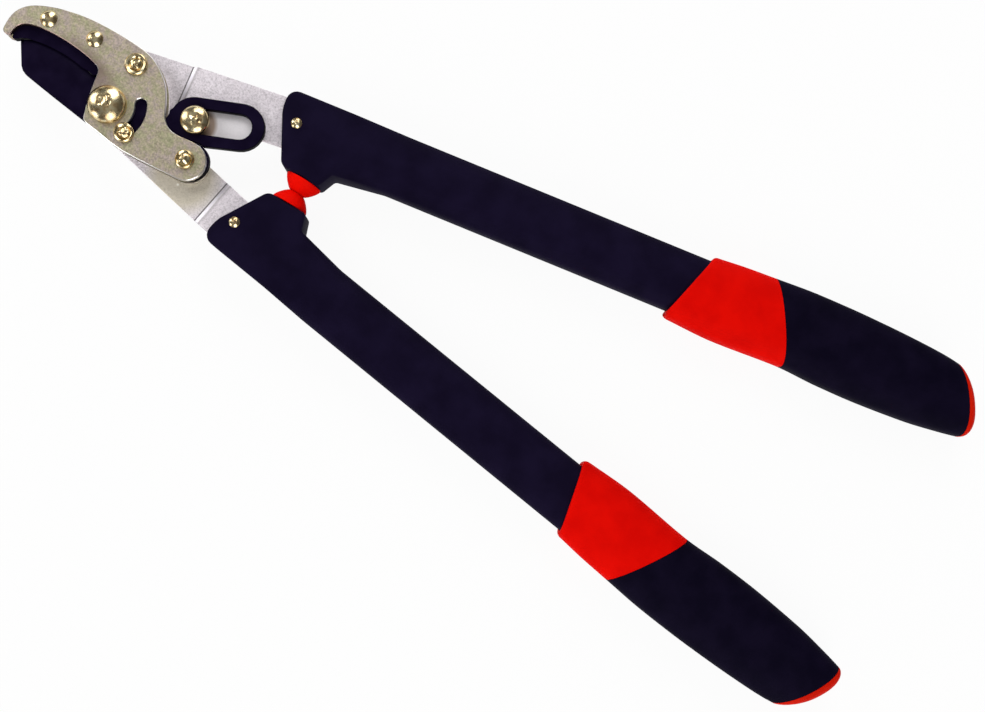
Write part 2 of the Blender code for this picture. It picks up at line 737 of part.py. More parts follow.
def joggled(bm, x, side):
    """Step a flat strap up by the joggle, along a line that leans a little."""
    lean = math.radians(JOGGLE_LEAN)
    normal = (math.cos(lean), side * math.sin(lean), 0.0)
    origin = (x, MIDLINE_Y + side * (strap_line(x) - MIDLINE_Y), 0.0)
    for fold in JOGGLE_FOLDS:
        point = (origin[0] + fold * JOGGLE_RAMP, origin[1], 0.0)
        bmesh.ops.bisect_plane(bm, geom=bm.verts[:] + bm.edges[:] + bm.faces[:],
                               plane_co=point, plane_no=normal, dist=1e-7)
    for vert in bm.verts:
        reach = (vert.co.x - origin[0]) * normal[0] + (vert.co.y - origin[1]) * normal[1]
        share = min(max(reach / JOGGLE_RAMP, 0.0), 1.0)
        vert.co.z += JOGGLE_STEP * share * share * (3.0 - 2.0 * share)


def tongue():
    """The strap's end inside the collar: outer edge first, then round to the inner."""
    half = TONGUE_WIDTH / 2 / math.cos(math.radians(STRAP_TILT))
    start = TONGUE_START_X
    root = start + TONGUE_STEP
    end = TONGUE_END_X
    return [
        (*strap_edge(start, 1), TONGUE_ROOT),
        (root, strap_line(root) + half, TONGUE_ROOT),
        (end, strap_line(end) + half, TONGUE_CORNER),
        (end, strap_line(end) - half, TONGUE_CORNER),
        (root, strap_line(root) - half, TONGUE_ROOT),
        (*strap_edge(start, -1), TONGUE_ROOT),
    ]


def upper_strap(parent):
    """The moving strap, which widens into an ear round the drive stud."""
    side = STRAP_TILT + 90.0
    edge = strap_edge(HANDLE_PIVOT[0], 1)
    to_edge = (edge[1] - HANDLE_PIVOT[1]) * math.cos(math.radians(STRAP_TILT))
    end_centre = at(HANDLE_PIVOT, side, to_edge - STRAP_END_RADIUS)
    start = arc(end_centre, STRAP_END_RADIUS, side + STRAP_END_TURN, side, 12)
    ear_foot = strap_edge(EAR_FOOT_X, -1)[1] - EAR_FOOT_DROP
    grip_side = rounded(tongue() + [
        (*strap_edge(EAR_FOOT_X + EAR_RISE, -1), EAR_ROOT_CURVE),
        (EAR_FOOT_X, ear_foot, EAR_FOOT_CURVE),
        (*at(DRIVE_STUD, EAR_START, EAR_RADIUS), 0.0),
        (*at(DRIVE_STUD, EAR_END, EAR_RADIUS), 0.0),
        (*start[0], 0.0),
        (*start[-1], 0.0),
    ], 3)
    outline = start[:-1] + [grip_side[-1]] + grip_side[:-2]
    bores = [
        bore(HANDLE_PIVOT, RIVET_RADIUS),
        bore(DRIVE_STUD, STUD_RADIUS),
        bore(HANDLE_RIVET, HANDLE_RIVET_RADIUS),
    ]
    bm = flat_body(outline, STRAP_Z, STRAP_Z + STRAP_THICK, bores=bores)
    joggled(bm, UPPER_JOGGLE_X, 1)
    finish("upper_strap", bm, strap_steel, HANDLE_PIVOT, parent)


def lower_strap():
    """The fixed strap, with a round end about the main pivot."""
    half = STRAP_WIDTH / 2
    centre = (0.0, strap_line(0.0))
    start = arc(centre, half, 270.0 + STRAP_TILT, 90.0 + STRAP_TILT, 14)
    ends = rounded(tongue() + [(*start[0], 0.0), (*start[-1], 0.0)], 3)
    outline = mirror(start[:-1] + [ends[-1]] + ends[:-2])
    bores = [
        bore((0.0, 0.0), BOLT_RADIUS),
        bore(LOBE_RIVET, RIVET_RADIUS),
        bore(mirror([HANDLE_RIVET])[0], HANDLE_RIVET_RADIUS),
    ]
    bm = flat_body(outline, STRAP_Z, STRAP_Z + STRAP_THICK, bores=bores)
    joggled(bm, LOWER_JOGGLE_X, -1)
    finish("lower_strap", bm, strap_steel)


def drive_stud(parent):
    """The domed stud in the strap's ear, and the roller that it carries."""
    low = STRAP_Z + JOGGLE_STEP - GAP
    seat = BLADE_Z + BLADE_THICK + GAP
    profile = mirrored_down(dome(STUD_FOOT_RADIUS, STUD_FOOT_HEIGHT, low, 3), low)
    profile += shank(STUD_RADIUS, low, seat) + [(STUD_HEAD_RADIUS, seat)]
    profile += dome(STUD_HEAD_RADIUS, STUD_HEAD_HEIGHT, seat + HEAD_RIM, 5)
    finish("drive_stud", turned_body(profile, DRIVE_STUD, 24), zinc, DRIVE_STUD, parent)
    bores = [bore(DRIVE_STUD, STUD_RADIUS)]
    ring = circle(DRIVE_STUD, ROLLER_RADIUS)
    bm = flat_body(ring, BLADE_Z, BLADE_Z + BLADE_THICK, bores=bores)
    finish("drive_roller", bm, zinc, DRIVE_STUD, parent)


def collar_corners():
    """The handle moulding's plan in its own axes, as rounded corners."""
    first = to_handle(SHOULDER_START_X, MIDLINE_Y + SHOULDER_HEIGHT)
    last = to_handle(SHOULDER_END_X, MIDLINE_Y + SHOULDER_HEIGHT)
    wide = SHAFT_HALF_WIDTH
    slim = CORE_HALF_WIDTH
    return [
        (COLLAR_START, COLLAR_HALF_WIDTH, COLLAR_OUTER_CURVE),
        (COLLAR_START, COLLAR_SLANT_V, COLLAR_SLANT_CURVE),
        (*first, SHOULDER_START_CURVE),
        (*last, SHOULDER_END_CURVE),
        (COLLAR_END, -wide - NECK_DEPTH, COLLAR_END_CURVE),
        (COLLAR_END + EDGE_BLEND, -wide, NECK_CURVE),
        (CORE_TAPER_START, -wide, 0.0),
        (CORE_TAPER_END, -slim, 0.0),
        (CORE_END, -slim, 0.0),
        (CORE_END, slim, 0.0),
        (CORE_TAPER_END, slim, 0.0),
        (CORE_TAPER_START, wide, 0.0),
        (COLLAR_END + EDGE_BLEND, wide, 0.0),
        (COLLAR_END, COLLAR_HALF_WIDTH, 0.0),
    ]


def edge_radius(u):
    """The rounding of the moulding's edges: small on the collar, full on the shaft."""
    share = min(max((u - COLLAR_END) / EDGE_BLEND, 0.0), 1.0)
    return COLLAR_EDGE + (SHAFT_EDGE - COLLAR_EDGE) * share


def quarter():
    """(in, up) shares of a rounded edge, from its side up to its face."""
    for k in range(EDGE_STEPS + 1):
        a = math.radians(90.0 * k / EDGE_STEPS)
        yield 1.0 - math.cos(a), 1.0 - math.sin(a)


def handle_moulding(name, side, pivot, parent):
    """Collar, bumper shoulder, shaft and the core inside the grip, in one moulding."""
    outline = tidy(rounded(collar_corners()))
    edges = [edge_radius(u) for u, v in outline]
    half = HANDLE_THICK / 2
    rings = []
    for inward, short in quarter():
        ring = inset(outline, [e * inward for e in edges])
        rings.append(level(ring, [HANDLE_Z + half - e * short for e in edges]))
    lower = [[(x, y, 2 * HANDLE_Z - z) for x, y, z in ring] for ring in reversed(rings)]
    bm = bmesh.new()
    stack = walls(bm, lower + rings)
    bm.faces.new(stack[0])
    bm.faces.new(stack[-1])
    for vert in bm.verts:
        place = placed(vert.co.x, vert.co.y, side)
        vert.co.x = place[0]
        vert.co.y = place[1]
    obj = finish(name, bm, nylon, pivot, parent)
    low = HANDLE_Z - STRAP_THICK / 2
    mouth = POCKET_MOUTH_X
    pocket = tidy(rounded([(*strap_edge(mouth, -1), 0.0), (*strap_edge(mouth, 1), 0.0)]
                          + tongue(), 3))
    pocket = inset(pocket, [-GAP] * len(pocket))
    rivet = HANDLE_RIVET
    if side < 0:
        pocket = mirror(pocket)
        rivet = mirror([HANDLE_RIVET])[0]
    cut(obj, prism(pocket, low - GAP, low + STRAP_THICK + GAP))
    cut(obj, prism(bore(rivet, HANDLE_RIVET_RADIUS), 0.0, 2 * HANDLE_Z))
    cut(obj, bumper_body(side, STEM_RADIUS + GAP, STEM_LENGTH + GAP, True))
    return obj


def cut(obj, bm):
    """Take the shape of bm, given in world coordinates, out of obj."""
    bm.normal_update()
    bmesh.ops.recalc_face_normals(bm, faces=bm.faces)
    mesh = bpy.data.meshes.new(obj.name + "_cutter")
    bm.to_mesh(mesh)
    bm.free()
    cutter = bpy.data.objects.new(mesh.name, mesh)
    bpy.context.scene.collection.objects.link(cutter)
    cutter.hide_render = True
    cutter.display_type = "WIRE"
    modifier = obj.modifiers.new("cut", "BOOLEAN")
    modifier.operation = "DIFFERENCE"
    modifier.solver = "EXACT"
    modifier.object = cutter


def placed(u, v, side):
    """World place of a handle point, on the upper handle or mirrored to the lower.

    The fixed handle sits a little further from the head than the moving one.
    """
    x, y = from_handle(u, v)
    if side < 0:
        return mirror([(x + HANDLE_STAGGER, y)])[0]
    return (x - HANDLE_STAGGER, y)


def bumper_body(side, stem_radius, stem_length, cutter=False):
    """A rubber stop on the shoulder's face, turned about an axis along Y."""
    face = SHOULDER_HEIGHT - GAP
    tip = GAP / 2
    profile = [(0.0, SHOULDER_HEIGHT + stem_length), (stem_radius, SHOULDER_HEIGHT + stem_length)]
    if cutter:
        profile += [(stem_radius, face - CUT_MARGIN), (0.0, face - CUT_MARGIN)]
    else:
        rim = face - BUMPER_RIM
        profile += [(stem_radius, face), (BUMPER_RADIUS, face), (BUMPER_RADIUS, rim)]
        steps = 6
        for k in range(1, steps):
            a = math.radians(90.0 * k / steps)
            share = math.cos(a) ** BUMPER_TAPER
            reach = BUMPER_FLAT + (BUMPER_RADIUS - BUMPER_FLAT) * share
            profile.append((reach, rim - (rim - tip) * math.sin(a) ** BUMPER_TAPER))
        profile += [(BUMPER_FLAT, tip), (0.0, tip)]
    bm = turned_body(profile, (0.0, 0.0), 16 if cutter else 24)
    for vert in bm.verts:
        x, y, z = vert.co
        vert.co = (BUMPER_X + x, MIDLINE_Y + side * z, HANDLE_Z + y)
    return bm


def cross_line(v, middle, slant, curve):
    """Where a slanted, bowed line across the handle lies at v beside its axis."""
    share = v / SHAFT_HALF_WIDTH
    return middle + slant * share + curve * share * share


def sleeve_start(v):
    return cross_line(v, SLEEVE_START, SLEEVE_SLANT, 0.0)


def sleeve_end(v):
    return cross_line(v, SLEEVE_END, SLEEVE_END_SLANT, SLEEVE_END_BOW)


def grip_end(v):
    return cross_line(v, GRIP_END, GRIP_END_SLANT, GRIP_END_BOW)


def between(first, last, share):
    return lambda v: first(v) + (last(v) - first(v)) * share


def straight(u):
    return lambda v: u


def slope(stations, i):
    """The curve's slope at a station: level where the values turn back or stay."""
    rates = [(b - a) / (u1 - u0) for (u0, a), (u1, b) in zip(stations, stations[1:])]
    before = rates[max(i - 1, 0)]
    after = rates[min(i, len(rates) - 1)]
    if before * after <= 0.0:
        return 0.0
    return 2.0 * before * after / (before + after)


def along(stations, u):
    """Value at u of a smooth curve through (u, value) stations."""
    u = min(max(u, stations[0][0]), stations[-1][0])
    i = 0
    while u > stations[i + 1][0]:
        i += 1
    u0, a = stations[i]
    u1, b = stations[i + 1]
    span = u1 - u0
    t = (u - u0) / span
    rise = slope(stations, i) * span
    fall = slope(stations, i + 1) * span
    return (a + t * rise + t * t * (3 * (b - a) - 2 * rise - fall)
            + t * t * t * (2 * (a - b) + rise + fall))


OUTER_EDGE = mm([(529.0, 22.9), (545.0, 24.1), (567.0, 24.9), (592.0, 25.7), (615.0, 25.3),
                 (640.0, 24.1), (662.0, 22.5), (682.0, 20.4), (697.0, 17.4)])
INNER_EDGE = mm([(512.0, 24.2), (545.0, 26.3), (587.0, 25.3), (615.0, 27.2), (640.0, 27.9),
                 (672.0, 27.2), (697.0, 24.9), (717.0, 22.0)])
GRIP_DEPTH = [(507.0 * MM, HANDLE_Z - 1.4 * MM), (567.0 * MM, HANDLE_Z),
              (657.0 * MM, HANDLE_Z), (717.0 * MM, HANDLE_Z - 2.5 * MM)]


def core_section(grow):
    """(flat, out, height) round the core: flat is a share of its flat half width."""
    reach = SHAFT_EDGE + grow
    rise = HANDLE_THICK / 2 - SHAFT_EDGE
    corner = []
    for k in range(GRIP_STEPS + 1):
        out, up = at((0.0, 0.0), 90.0 * k / GRIP_STEPS, reach)
        corner.append((1.0, out, rise + up))
    crown = [(flat, 0.0, rise + reach) for flat in (0.5, 0.0, -0.5)]
    far_corner = [(-flat, -out, height) for flat, out, height in reversed(corner)]
    half = [(1.0, reach, 0.0)] + corner + crown + far_corner
    return half + [(-flat, -out, -height) for flat, out, height in half]


def core_half(u):
    share = (u - CORE_TAPER_START) / (CORE_TAPER_END - CORE_TAPER_START)
    share = min(max(share, 0.0), 1.0)
    return SHAFT_HALF_WIDTH + (CORE_HALF_WIDTH - SHAFT_HALF_WIDTH) * share


def core_ring(line, grow, shift=0.0):
    """A ring on the core's surface, grown by a clearance, along a cross-line."""
    ring = []
    for flat, out, height in core_section(grow):
        v = 0.0
        for _ in range(4):
            u = line(v) + shift
            v = flat * (core_half(u) - SHAFT_EDGE) + out
        ring.append((line(v) + shift, v, HANDLE_Z + height))
    return ring


def skin(line, shift=0.0, scale=1.0, bulge=0.0):
    """A ring on the grip's surface along a cross-line, facing the core's points.

    shift moves it along the handle, scale draws the section in about its middle,
    and bulge moves it outwards along the handle after that.
    """
    ring = []
    power = GRIP_SQUARENESS / 2
    for flat, out, height in core_section(0.0):
        side = flat * (SHAFT_HALF_WIDTH - SHAFT_EDGE) + out
        share = abs(side) / SHAFT_HALF_WIDTH
        rise = abs(height) / (HANDLE_THICK / 2)
        angle = math.atan2(rise ** power, share ** power)
        across = math.copysign(math.cos(angle) ** (1 / power), side)
        up = math.copysign(math.sin(angle) ** (1 / power), height)
        v = 0.0
        for _ in range(4):
            u = line(v) + shift
            outer = along(OUTER_EDGE, u)
            inner = along(INNER_EDGE, u)
            v = (outer - inner) / 2 + across * scale * (outer + inner) / 2
        depth = up * scale * along(GRIP_DEPTH, u)
        ring.append((line(v) + shift + bulge, v, HANDLE_Z + depth))
    return ring


def loft(name, rings, side, pivot, parent, surface, closed):
    """Skin rings given in handle axes; closed joins the last ring to the first.

    Every quad is split from its earlier ring's first point to its later ring's
    second, so that two pieces that meet on the same rings keep their clearance.
    """
    bm = bmesh.new()
    stack = [[bm.verts.new((*placed(u, v, side), z)) for u, v, z in ring] for ring in rings]
    pairs = list(zip(stack, stack[1:]))
    if closed:
        pairs.append((stack[0], stack[-1]))
    else:
        bm.faces.new(stack[0])
        bm.faces.new(stack[-1])
    count = len(rings[0])
    for first, second in pairs:
        for i in range(count):
            j = (i + 1) % count
            bm.faces.new((first[i], first[j], second[j]))
            bm.faces.new((first[i], second[j], second[i]))
    finish(name, bm, surface, pivot, parent)


def grip_parts(side, pivot, parent):
    """The red sleeve, the black grip and the red end cap of one handle."""
    word = "upper" if side > 0 else "lower"
    outer = [skin(sleeve_start, reach, scale) for reach, scale in SLEEVE_LIP]
    for k in range(1, 6):
        outer.append(skin(between(sleeve_start, sleeve_end, k / 5)))
    inside = [core_ring(sleeve_end, GAP), core_ring(straight(CORE_TAPER_START), GAP),
              core_ring(sleeve_start, GAP)]
    loft(word + "_sleeve", outer + inside, side, pivot, parent, red_rubber, True)

    outer = [skin(between(sleeve_end, grip_end, k / 10), GAP * (1 - k / 10))
             for k in range(11)]
    inside = [core_ring(grip_end, GAP), core_ring(straight(GRIP_BORE_START), GAP),
              core_ring(sleeve_end, GAP, GAP)]
    loft(word + "_grip", outer + inside, side, pivot, parent, black_rubber, True)

    rings = []
    steps = 5
    for k in range(steps):
        a = math.radians(CAP_TURN * (steps - 1 - k) / (steps - 1))
        rings.append(skin(grip_end, GAP, math.cos(a), CAP_BULGE * math.sin(a)))
    rings += [core_ring(grip_end, 0.0, GAP), core_ring(straight(CORE_END + GAP), 0.0)]
    loft(word + "_end_cap", rings, side, pivot, parent, red_rubber, False)


def handle(side, pivot, parent):
    """One whole handle: moulding, bumper, rivet and grip."""
    word = "upper" if side > 0 else "lower"
    handle_moulding(word + "_handle", side, pivot, parent)
    bm = bumper_body(side, STEM_RADIUS, STEM_LENGTH)
    finish(word + "_bumper", bm, red_rubber, pivot, parent)
    place = HANDLE_RIVET if side > 0 else mirror([HANDLE_RIVET])[0]
    half = HANDLE_THICK / 2 + GAP

    def head(base):
        return dome(HANDLE_RIVET_HEAD, HANDLE_RIVET_DOME, base, 4)

    profile = rivet_profile(HANDLE_RIVET_RADIUS, head, HANDLE_Z - half, HANDLE_Z + half)
    finish(word + "_handle_rivet", turned_body(profile, place, 16), zinc, pivot, parent)
    grip_parts(side, pivot, parent)


def clear_scene():
    for obj in list(bpy.data.objects):
        bpy.data.objects.remove(obj, do_unlink=True)


def main():
    clear_scene()
    blade_axis = joint_empty("blade_axis", (0.0, 0.0))
    handle_axis = joint_empty("upper_handle_axis", HANDLE_PIVOT)
    side_plate("front_plate", FRONT_PLATE_Z, (0.0, NIP))
    side_plate("rear_plate", REAR_PLATE_Z, (NIP, 0.0))
    anvil()
    anvil_rivets()
    main_pivot()
    head_rivets()
    lower_strap()
    handle(-1, (0.0, 0.0), None)
    blade(blade_axis)
    stop_pin(blade_axis)
    upper_strap(handle_axis)
    drive_stud(handle_axis)
    handle(1, HANDLE_PIVOT, handle_axis)


main()
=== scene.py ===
from collections import namedtuple
import json
import math

import bmesh
import bpy
from mathutils import Matrix, Vector, noise


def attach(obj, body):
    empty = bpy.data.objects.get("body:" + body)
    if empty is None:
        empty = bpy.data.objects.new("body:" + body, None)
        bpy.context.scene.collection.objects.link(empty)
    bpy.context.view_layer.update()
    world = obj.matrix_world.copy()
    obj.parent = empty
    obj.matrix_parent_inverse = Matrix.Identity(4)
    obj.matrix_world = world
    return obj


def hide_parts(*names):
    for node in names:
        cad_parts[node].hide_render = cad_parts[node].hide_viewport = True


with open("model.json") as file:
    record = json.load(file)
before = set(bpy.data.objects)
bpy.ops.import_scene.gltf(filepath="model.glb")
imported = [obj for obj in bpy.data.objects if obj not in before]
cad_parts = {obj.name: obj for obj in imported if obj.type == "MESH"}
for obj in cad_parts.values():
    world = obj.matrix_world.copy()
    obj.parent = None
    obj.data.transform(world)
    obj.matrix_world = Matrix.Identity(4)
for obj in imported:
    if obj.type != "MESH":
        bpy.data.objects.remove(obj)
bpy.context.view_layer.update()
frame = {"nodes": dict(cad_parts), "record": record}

MM = 0.001
NODES = frame["nodes"]
RECORD = frame["record"]
SLOT = {part["node"]: part["material_slot"] for part in RECORD["subparts"]}
BODY = {node: body for body, group in RECORD["behaviour"]["bodies"].items()
        for node in group}

# Places repeated from the part, in millimetres
PIVOT = (0.0, 0.0)
HANDLE_PIVOT = (1.4, 30.7)
LOBE_RIVET = (58.4, -4.7)
STOP_PIN = (17.857, -9.655)
DRIVE_STUD = (49.8, 19.8)
ANVIL_RIVETS = ((-59.9, 27.5), (-29.0, 31.2))
HANDLE_RIVETS = ((105.3, 49.9), (105.3, -22.3))
MIDLINE_Y = 13.8
UPPER_JOGGLE = (30.4, 34.37)
LOWER_JOGGLE = (82.6, -18.06)
JOGGLE_LEAN = math.radians(9.0)

# Heights of the heads' seats, each a running gap off the face that the head holds
PLATE_SEAT = 26.9
REAR_PLATE_SEAT = 15.2
STRAP_SEAT = 9.9
RAISED_STRAP_SEAT = 13.2
LOOP_SEAT = 23.6
HANDLE_SEAT = 28.3
REAR_HANDLE_SEAT = 3.7

# The stop pin's foot is flush with the back of the rear plate
PIN_FOOT = 15.5


# Materials

def new_material(name, roughness, metallic=0.0, specular=0.5):
    """A material with a Principled shader; uniform values sit on its own sockets."""
    surface = bpy.data.materials.new(name)
    surface.use_nodes = True
    shader = surface.node_tree.nodes["Principled BSDF"]
    shader.inputs["Roughness"].default_value = roughness
    shader.inputs["Metallic"].default_value = metallic
    shader.inputs["Specular IOR Level"].default_value = specular
    return surface, surface.node_tree, shader


def noise_node(tree, per_metre, detail=2.0, roughness=0.5):
    """Noise in the object's own coordinates, so that it stays on the piece."""
    place = tree.nodes.new("ShaderNodeTexCoord")
    pattern = tree.nodes.new("ShaderNodeTexNoise")
    pattern.inputs["Scale"].default_value = per_metre
    pattern.inputs["Detail"].default_value = detail
    pattern.inputs["Roughness"].default_value = roughness
    tree.links.new(place.outputs["Object"], pattern.inputs["Vector"])
    return pattern.outputs["Fac"]


def ramp(tree, source, stops):
    """A colour ramp through (position, colour) stops."""
    node = tree.nodes.new("ShaderNodeValToRGB")
    points = node.color_ramp.elements
    while len(points) < len(stops):
        points.new(0.5)
    for point, (place, colour) in zip(points, stops):
        point.position = place
        point.color = (*colour, 1.0)
    tree.links.new(source, node.inputs["Fac"])
    return node.outputs["Color"]


def grey(value):
    return (value, value, value)


def remap(tree, source, first, last, low=0.0, high=1.0):
    """The source's first to last stretched to low to high, and held beyond them."""
    node = tree.nodes.new("ShaderNodeMapRange")
    node.inputs["From Min"].default_value = first
    node.inputs["From Max"].default_value = last
    node.inputs["To Min"].default_value = low
    node.inputs["To Max"].default_value = high
    tree.links.new(source, node.inputs["Value"])
    return node.outputs["Result"]


NOISE_RANGE = (0.3, 0.7)


def spread(tree, source, low, high):
    """A noise's usual range stretched to low to high."""
    return remap(tree, source, *NOISE_RANGE, low, high)


def join(tree, value, socket):
    """Link a socket, or set a number or a colour on the socket itself."""
    if isinstance(value, bpy.types.NodeSocket):
        tree.links.new(value, socket)
    elif isinstance(value, tuple):
        socket.default_value = (*value, 1.0)
    else:
        socket.default_value = value


def mix_colour(tree, share, first, second, mode="MIX"):
    """The first colour, with a share of the second over it."""
    node = tree.nodes.new("ShaderNodeMix")
    node.data_type = "RGBA"
    node.blend_type = mode
    join(tree, share, node.inputs[0])
    join(tree, first, node.inputs[6])
    join(tree, second, node.inputs[7])
    return node.outputs[2]


def mix_value(tree, share, first, second):
    """A number between first and second, by a share."""
    node = tree.nodes.new("ShaderNodeMix")
    node.data_type = "FLOAT"
    join(tree, share, node.inputs[0])
    join(tree, first, node.inputs[2])
    join(tree, second, node.inputs[3])
    return node.outputs[0]


def bump(tree, shader, height, distance, strength):
    """A fine relief on the shader, distance metres deep."""
    node = tree.nodes.new("ShaderNodeBump")
    node.inputs["Strength"].default_value = strength
    node.inputs["Distance"].default_value = distance
    tree.links.new(height, node.inputs["Height"])
    tree.links.new(node.outputs["Normal"], shader.inputs["Normal"])


# The upward part of a normal, on chamfers and cut edges and on flat faces
EDGE_AND_FACE = (0.80, 0.97)


def flatness(tree):
    """1 on faces that look straight up or down, 0 on chamfers and cut edges."""
    place = tree.nodes.new("ShaderNodeTexCoord")
    split = tree.nodes.new("ShaderNodeSeparateXYZ")
    size = tree.nodes.new("ShaderNodeMath")
    size.operation = "ABSOLUTE"
    tree.links.new(place.outputs["Normal"], split.inputs["Vector"])
    tree.links.new(split.outputs["Z"], size.inputs[0])
    return remap(tree, size.outputs[0], *EDGE_AND_FACE)


def reach_past(tree, origin, direction):
    """Distance in metres past a line through origin, along a level direction."""
    place = tree.nodes.new("ShaderNodeTexCoord")
    dot = tree.nodes.new("ShaderNodeVectorMath")
    dot.operation = "DOT_PRODUCT"
    dot.inputs[1].default_value = (*direction, 0.0)
    tree.links.new(place.outputs["Object"], dot.inputs[0])
    take = tree.nodes.new("ShaderNodeMath")
    take.operation = "SUBTRACT"
    take.inputs[1].default_value = (origin[0] * direction[0] + origin[1] * direction[1]) * MM
    tree.links.new(dot.outputs["Value"], take.inputs[0])
    return take.outputs[0]


# A round spot: its share holds to inner millimetres from the centre and ends at outer
Spot = namedtuple("Spot", "centre inner outer share", defaults=(1.0,))


def within(tree, spot):
    """The spot's share at each place, measured level from its centre."""
    place = tree.nodes.new("ShaderNodeTexCoord")
    flat = tree.nodes.new("ShaderNodeVectorMath")
    flat.operation = "MULTIPLY"
    flat.inputs[1].default_value = (1.0, 1.0, 0.0)
    tree.links.new(place.outputs["Object"], flat.inputs[0])
    gap = tree.nodes.new("ShaderNodeVectorMath")
    gap.operation = "DISTANCE"
    gap.inputs[1].default_value = (spot.centre[0] * MM, spot.centre[1] * MM, 0.0)
    tree.links.new(flat.outputs["Vector"], gap.inputs[0])
    return remap(tree, gap.outputs["Value"], spot.inner * MM, spot.outer * MM, spot.share, 0.0)


# Painted shade darkens the plate's face along the hook's inner edge where the heel's spot
# covers it, and the cut edge inside the hook
PAINTED_HOOK_SHADE = (0.26, 0.18, 0.16)
HOOK_EDGE = Spot((-43.6, -71.5), 92.0, 99.5, 0.80)
HOOK_HEEL = Spot((-25.0, 20.0), 11.0, 30.0)
HOOK_INSIDE = (Spot((-56.0, 10.0), 26.0, 28.0), Spot((-30.0, 14.0), 10.0, 12.0))
# Chamfers and cut edges: polished steel, made brighter still as a painted highlight
CUT_EDGE_STEEL_AND_HIGHLIGHT = (0.95, 0.93, 0.90)


def satin_plate():
    """Tumbled and zinc plated steel, mottled olive and rose, with painted shade by the hook and
    bright cut edges, partly a painted highlight.
    """
    surface, tree, shader = new_material("satin_plate", roughness=0.5, metallic=1.0)
    blotch = noise_node(tree, 170.0, detail=4.0, roughness=0.7)
    patches = ramp(tree, blotch, [
        (0.38, (0.61, 0.59, 0.38)),
        (0.50, (0.69, 0.61, 0.45)),
        (0.62, (0.70, 0.59, 0.53)),
    ])
    grain = noise_node(tree, 800.0, detail=4.0, roughness=0.75)
    speckle = ramp(tree, grain, [(0.38, grey(0.62)), (0.62, grey(1.0))])
    face = mix_colour(tree, 1.0, patches, speckle, "MULTIPLY")
    # Painted shade on the face along the hook's inner edge near the heel
    hook_shade_share = mix_value(tree, within(tree, HOOK_HEEL), 0.0, within(tree, HOOK_EDGE))
    face = mix_colour(tree, hook_shade_share, face, PAINTED_HOOK_SHADE)
    # The cut edges' colour is partly a painted highlight
    edge = CUT_EDGE_STEEL_AND_HIGHLIGHT
    # Painted shade on the cut edges inside the hook
    for spot in HOOK_INSIDE:
        edge = mix_colour(tree, within(tree, spot), edge, PAINTED_HOOK_SHADE)
    flat = flatness(tree)
    tree.links.new(mix_colour(tree, flat, edge, face), shader.inputs["Base Color"])
    rough = mix_value(tree, flat, 0.30, spread(tree, grain, 0.46, 0.60))
    tree.links.new(rough, shader.inputs["Roughness"])
    bump(tree, shader, grain, distance=0.00003, strength=0.5)
    return surface


# A joggle's painted marks lie in a band from just before its line, in metres, and their
# stops are shares of that band: painted shade at its foot, a painted highlight on its ramp
# and painted shade past it
JOGGLE_BAND = (-0.001, 0.007)
PAINTED_CREASE_SHADE = [(0.06, grey(1.0)), (0.09, grey(0.20)), (0.15, grey(0.20)), (0.20, grey(1.0))]
PAINTED_RAMP_HIGHLIGHT = [(0.17, grey(0.0)), (0.22, grey(1.0)), (0.42, grey(0.8)), (0.56, grey(0.0))]
PAINTED_SHADE_PAST_RAMP = [(0.46, grey(1.0)), (0.60, grey(0.62)), (0.78, grey(1.0))]
RAMP_HIGHLIGHT_TONE = (0.86, 0.83, 0.90)


def blasted_strap(name, joggle, lean, marks):
    """Sand blasted steel with a visible grain, with painted light and shade where the press bent
    it.

    Painted shade darkens the crease at the joggle's foot, a painted highlight lightens its
    ramp, which is also smoother, and painted shade darkens the steel past it. marks are
    (spot, colour): painted light and shade, a painted glint, an olive tone.
    """
    surface, tree, shader = new_material(name, roughness=0.55, metallic=0.7)
    grain = noise_node(tree, 900.0, detail=5.0, roughness=0.75)
    colour = ramp(tree, grain, [
        (0.34, (0.56, 0.51, 0.545)),
        (0.50, (0.83, 0.77, 0.81)),
        (0.66, (0.96, 0.91, 0.95)),
    ])
    cloud = ramp(tree, noise_node(tree, 300.0, detail=3.0), [(0.35, grey(0.92)), (0.6, grey(1.0))])
    colour = mix_colour(tree, 1.0, colour, cloud, "MULTIPLY")
    # Painted light, shade and a glint from the marks, and an olive tone
    for spot, tone in marks:
        colour = mix_colour(tree, within(tree, spot), colour, tone)
    reach = reach_past(tree, joggle, (math.cos(lean), math.sin(lean)))
    band = remap(tree, reach, *JOGGLE_BAND)
    # A painted highlight lightens the ramp, which is also made smoother
    ramp_highlight = ramp(tree, band, PAINTED_RAMP_HIGHLIGHT)
    colour = mix_colour(tree, ramp_highlight, colour, RAMP_HIGHLIGHT_TONE)
    # Painted shade in the crease at the joggle's foot
    colour = mix_colour(tree, 1.0, colour, ramp(tree, band, PAINTED_CREASE_SHADE), "MULTIPLY")
    # Painted shade on the steel past the ramp
    colour = mix_colour(tree, 1.0, colour, ramp(tree, band, PAINTED_SHADE_PAST_RAMP), "MULTIPLY")
    tree.links.new(colour, shader.inputs["Base Color"])
    rough = mix_value(tree, ramp_highlight, spread(tree, grain, 0.50, 0.66), 0.42)
    tree.links.new(rough, shader.inputs["Roughness"])
    bump(tree, shader, grain, distance=0.00008, strength=0.8)
    return surface


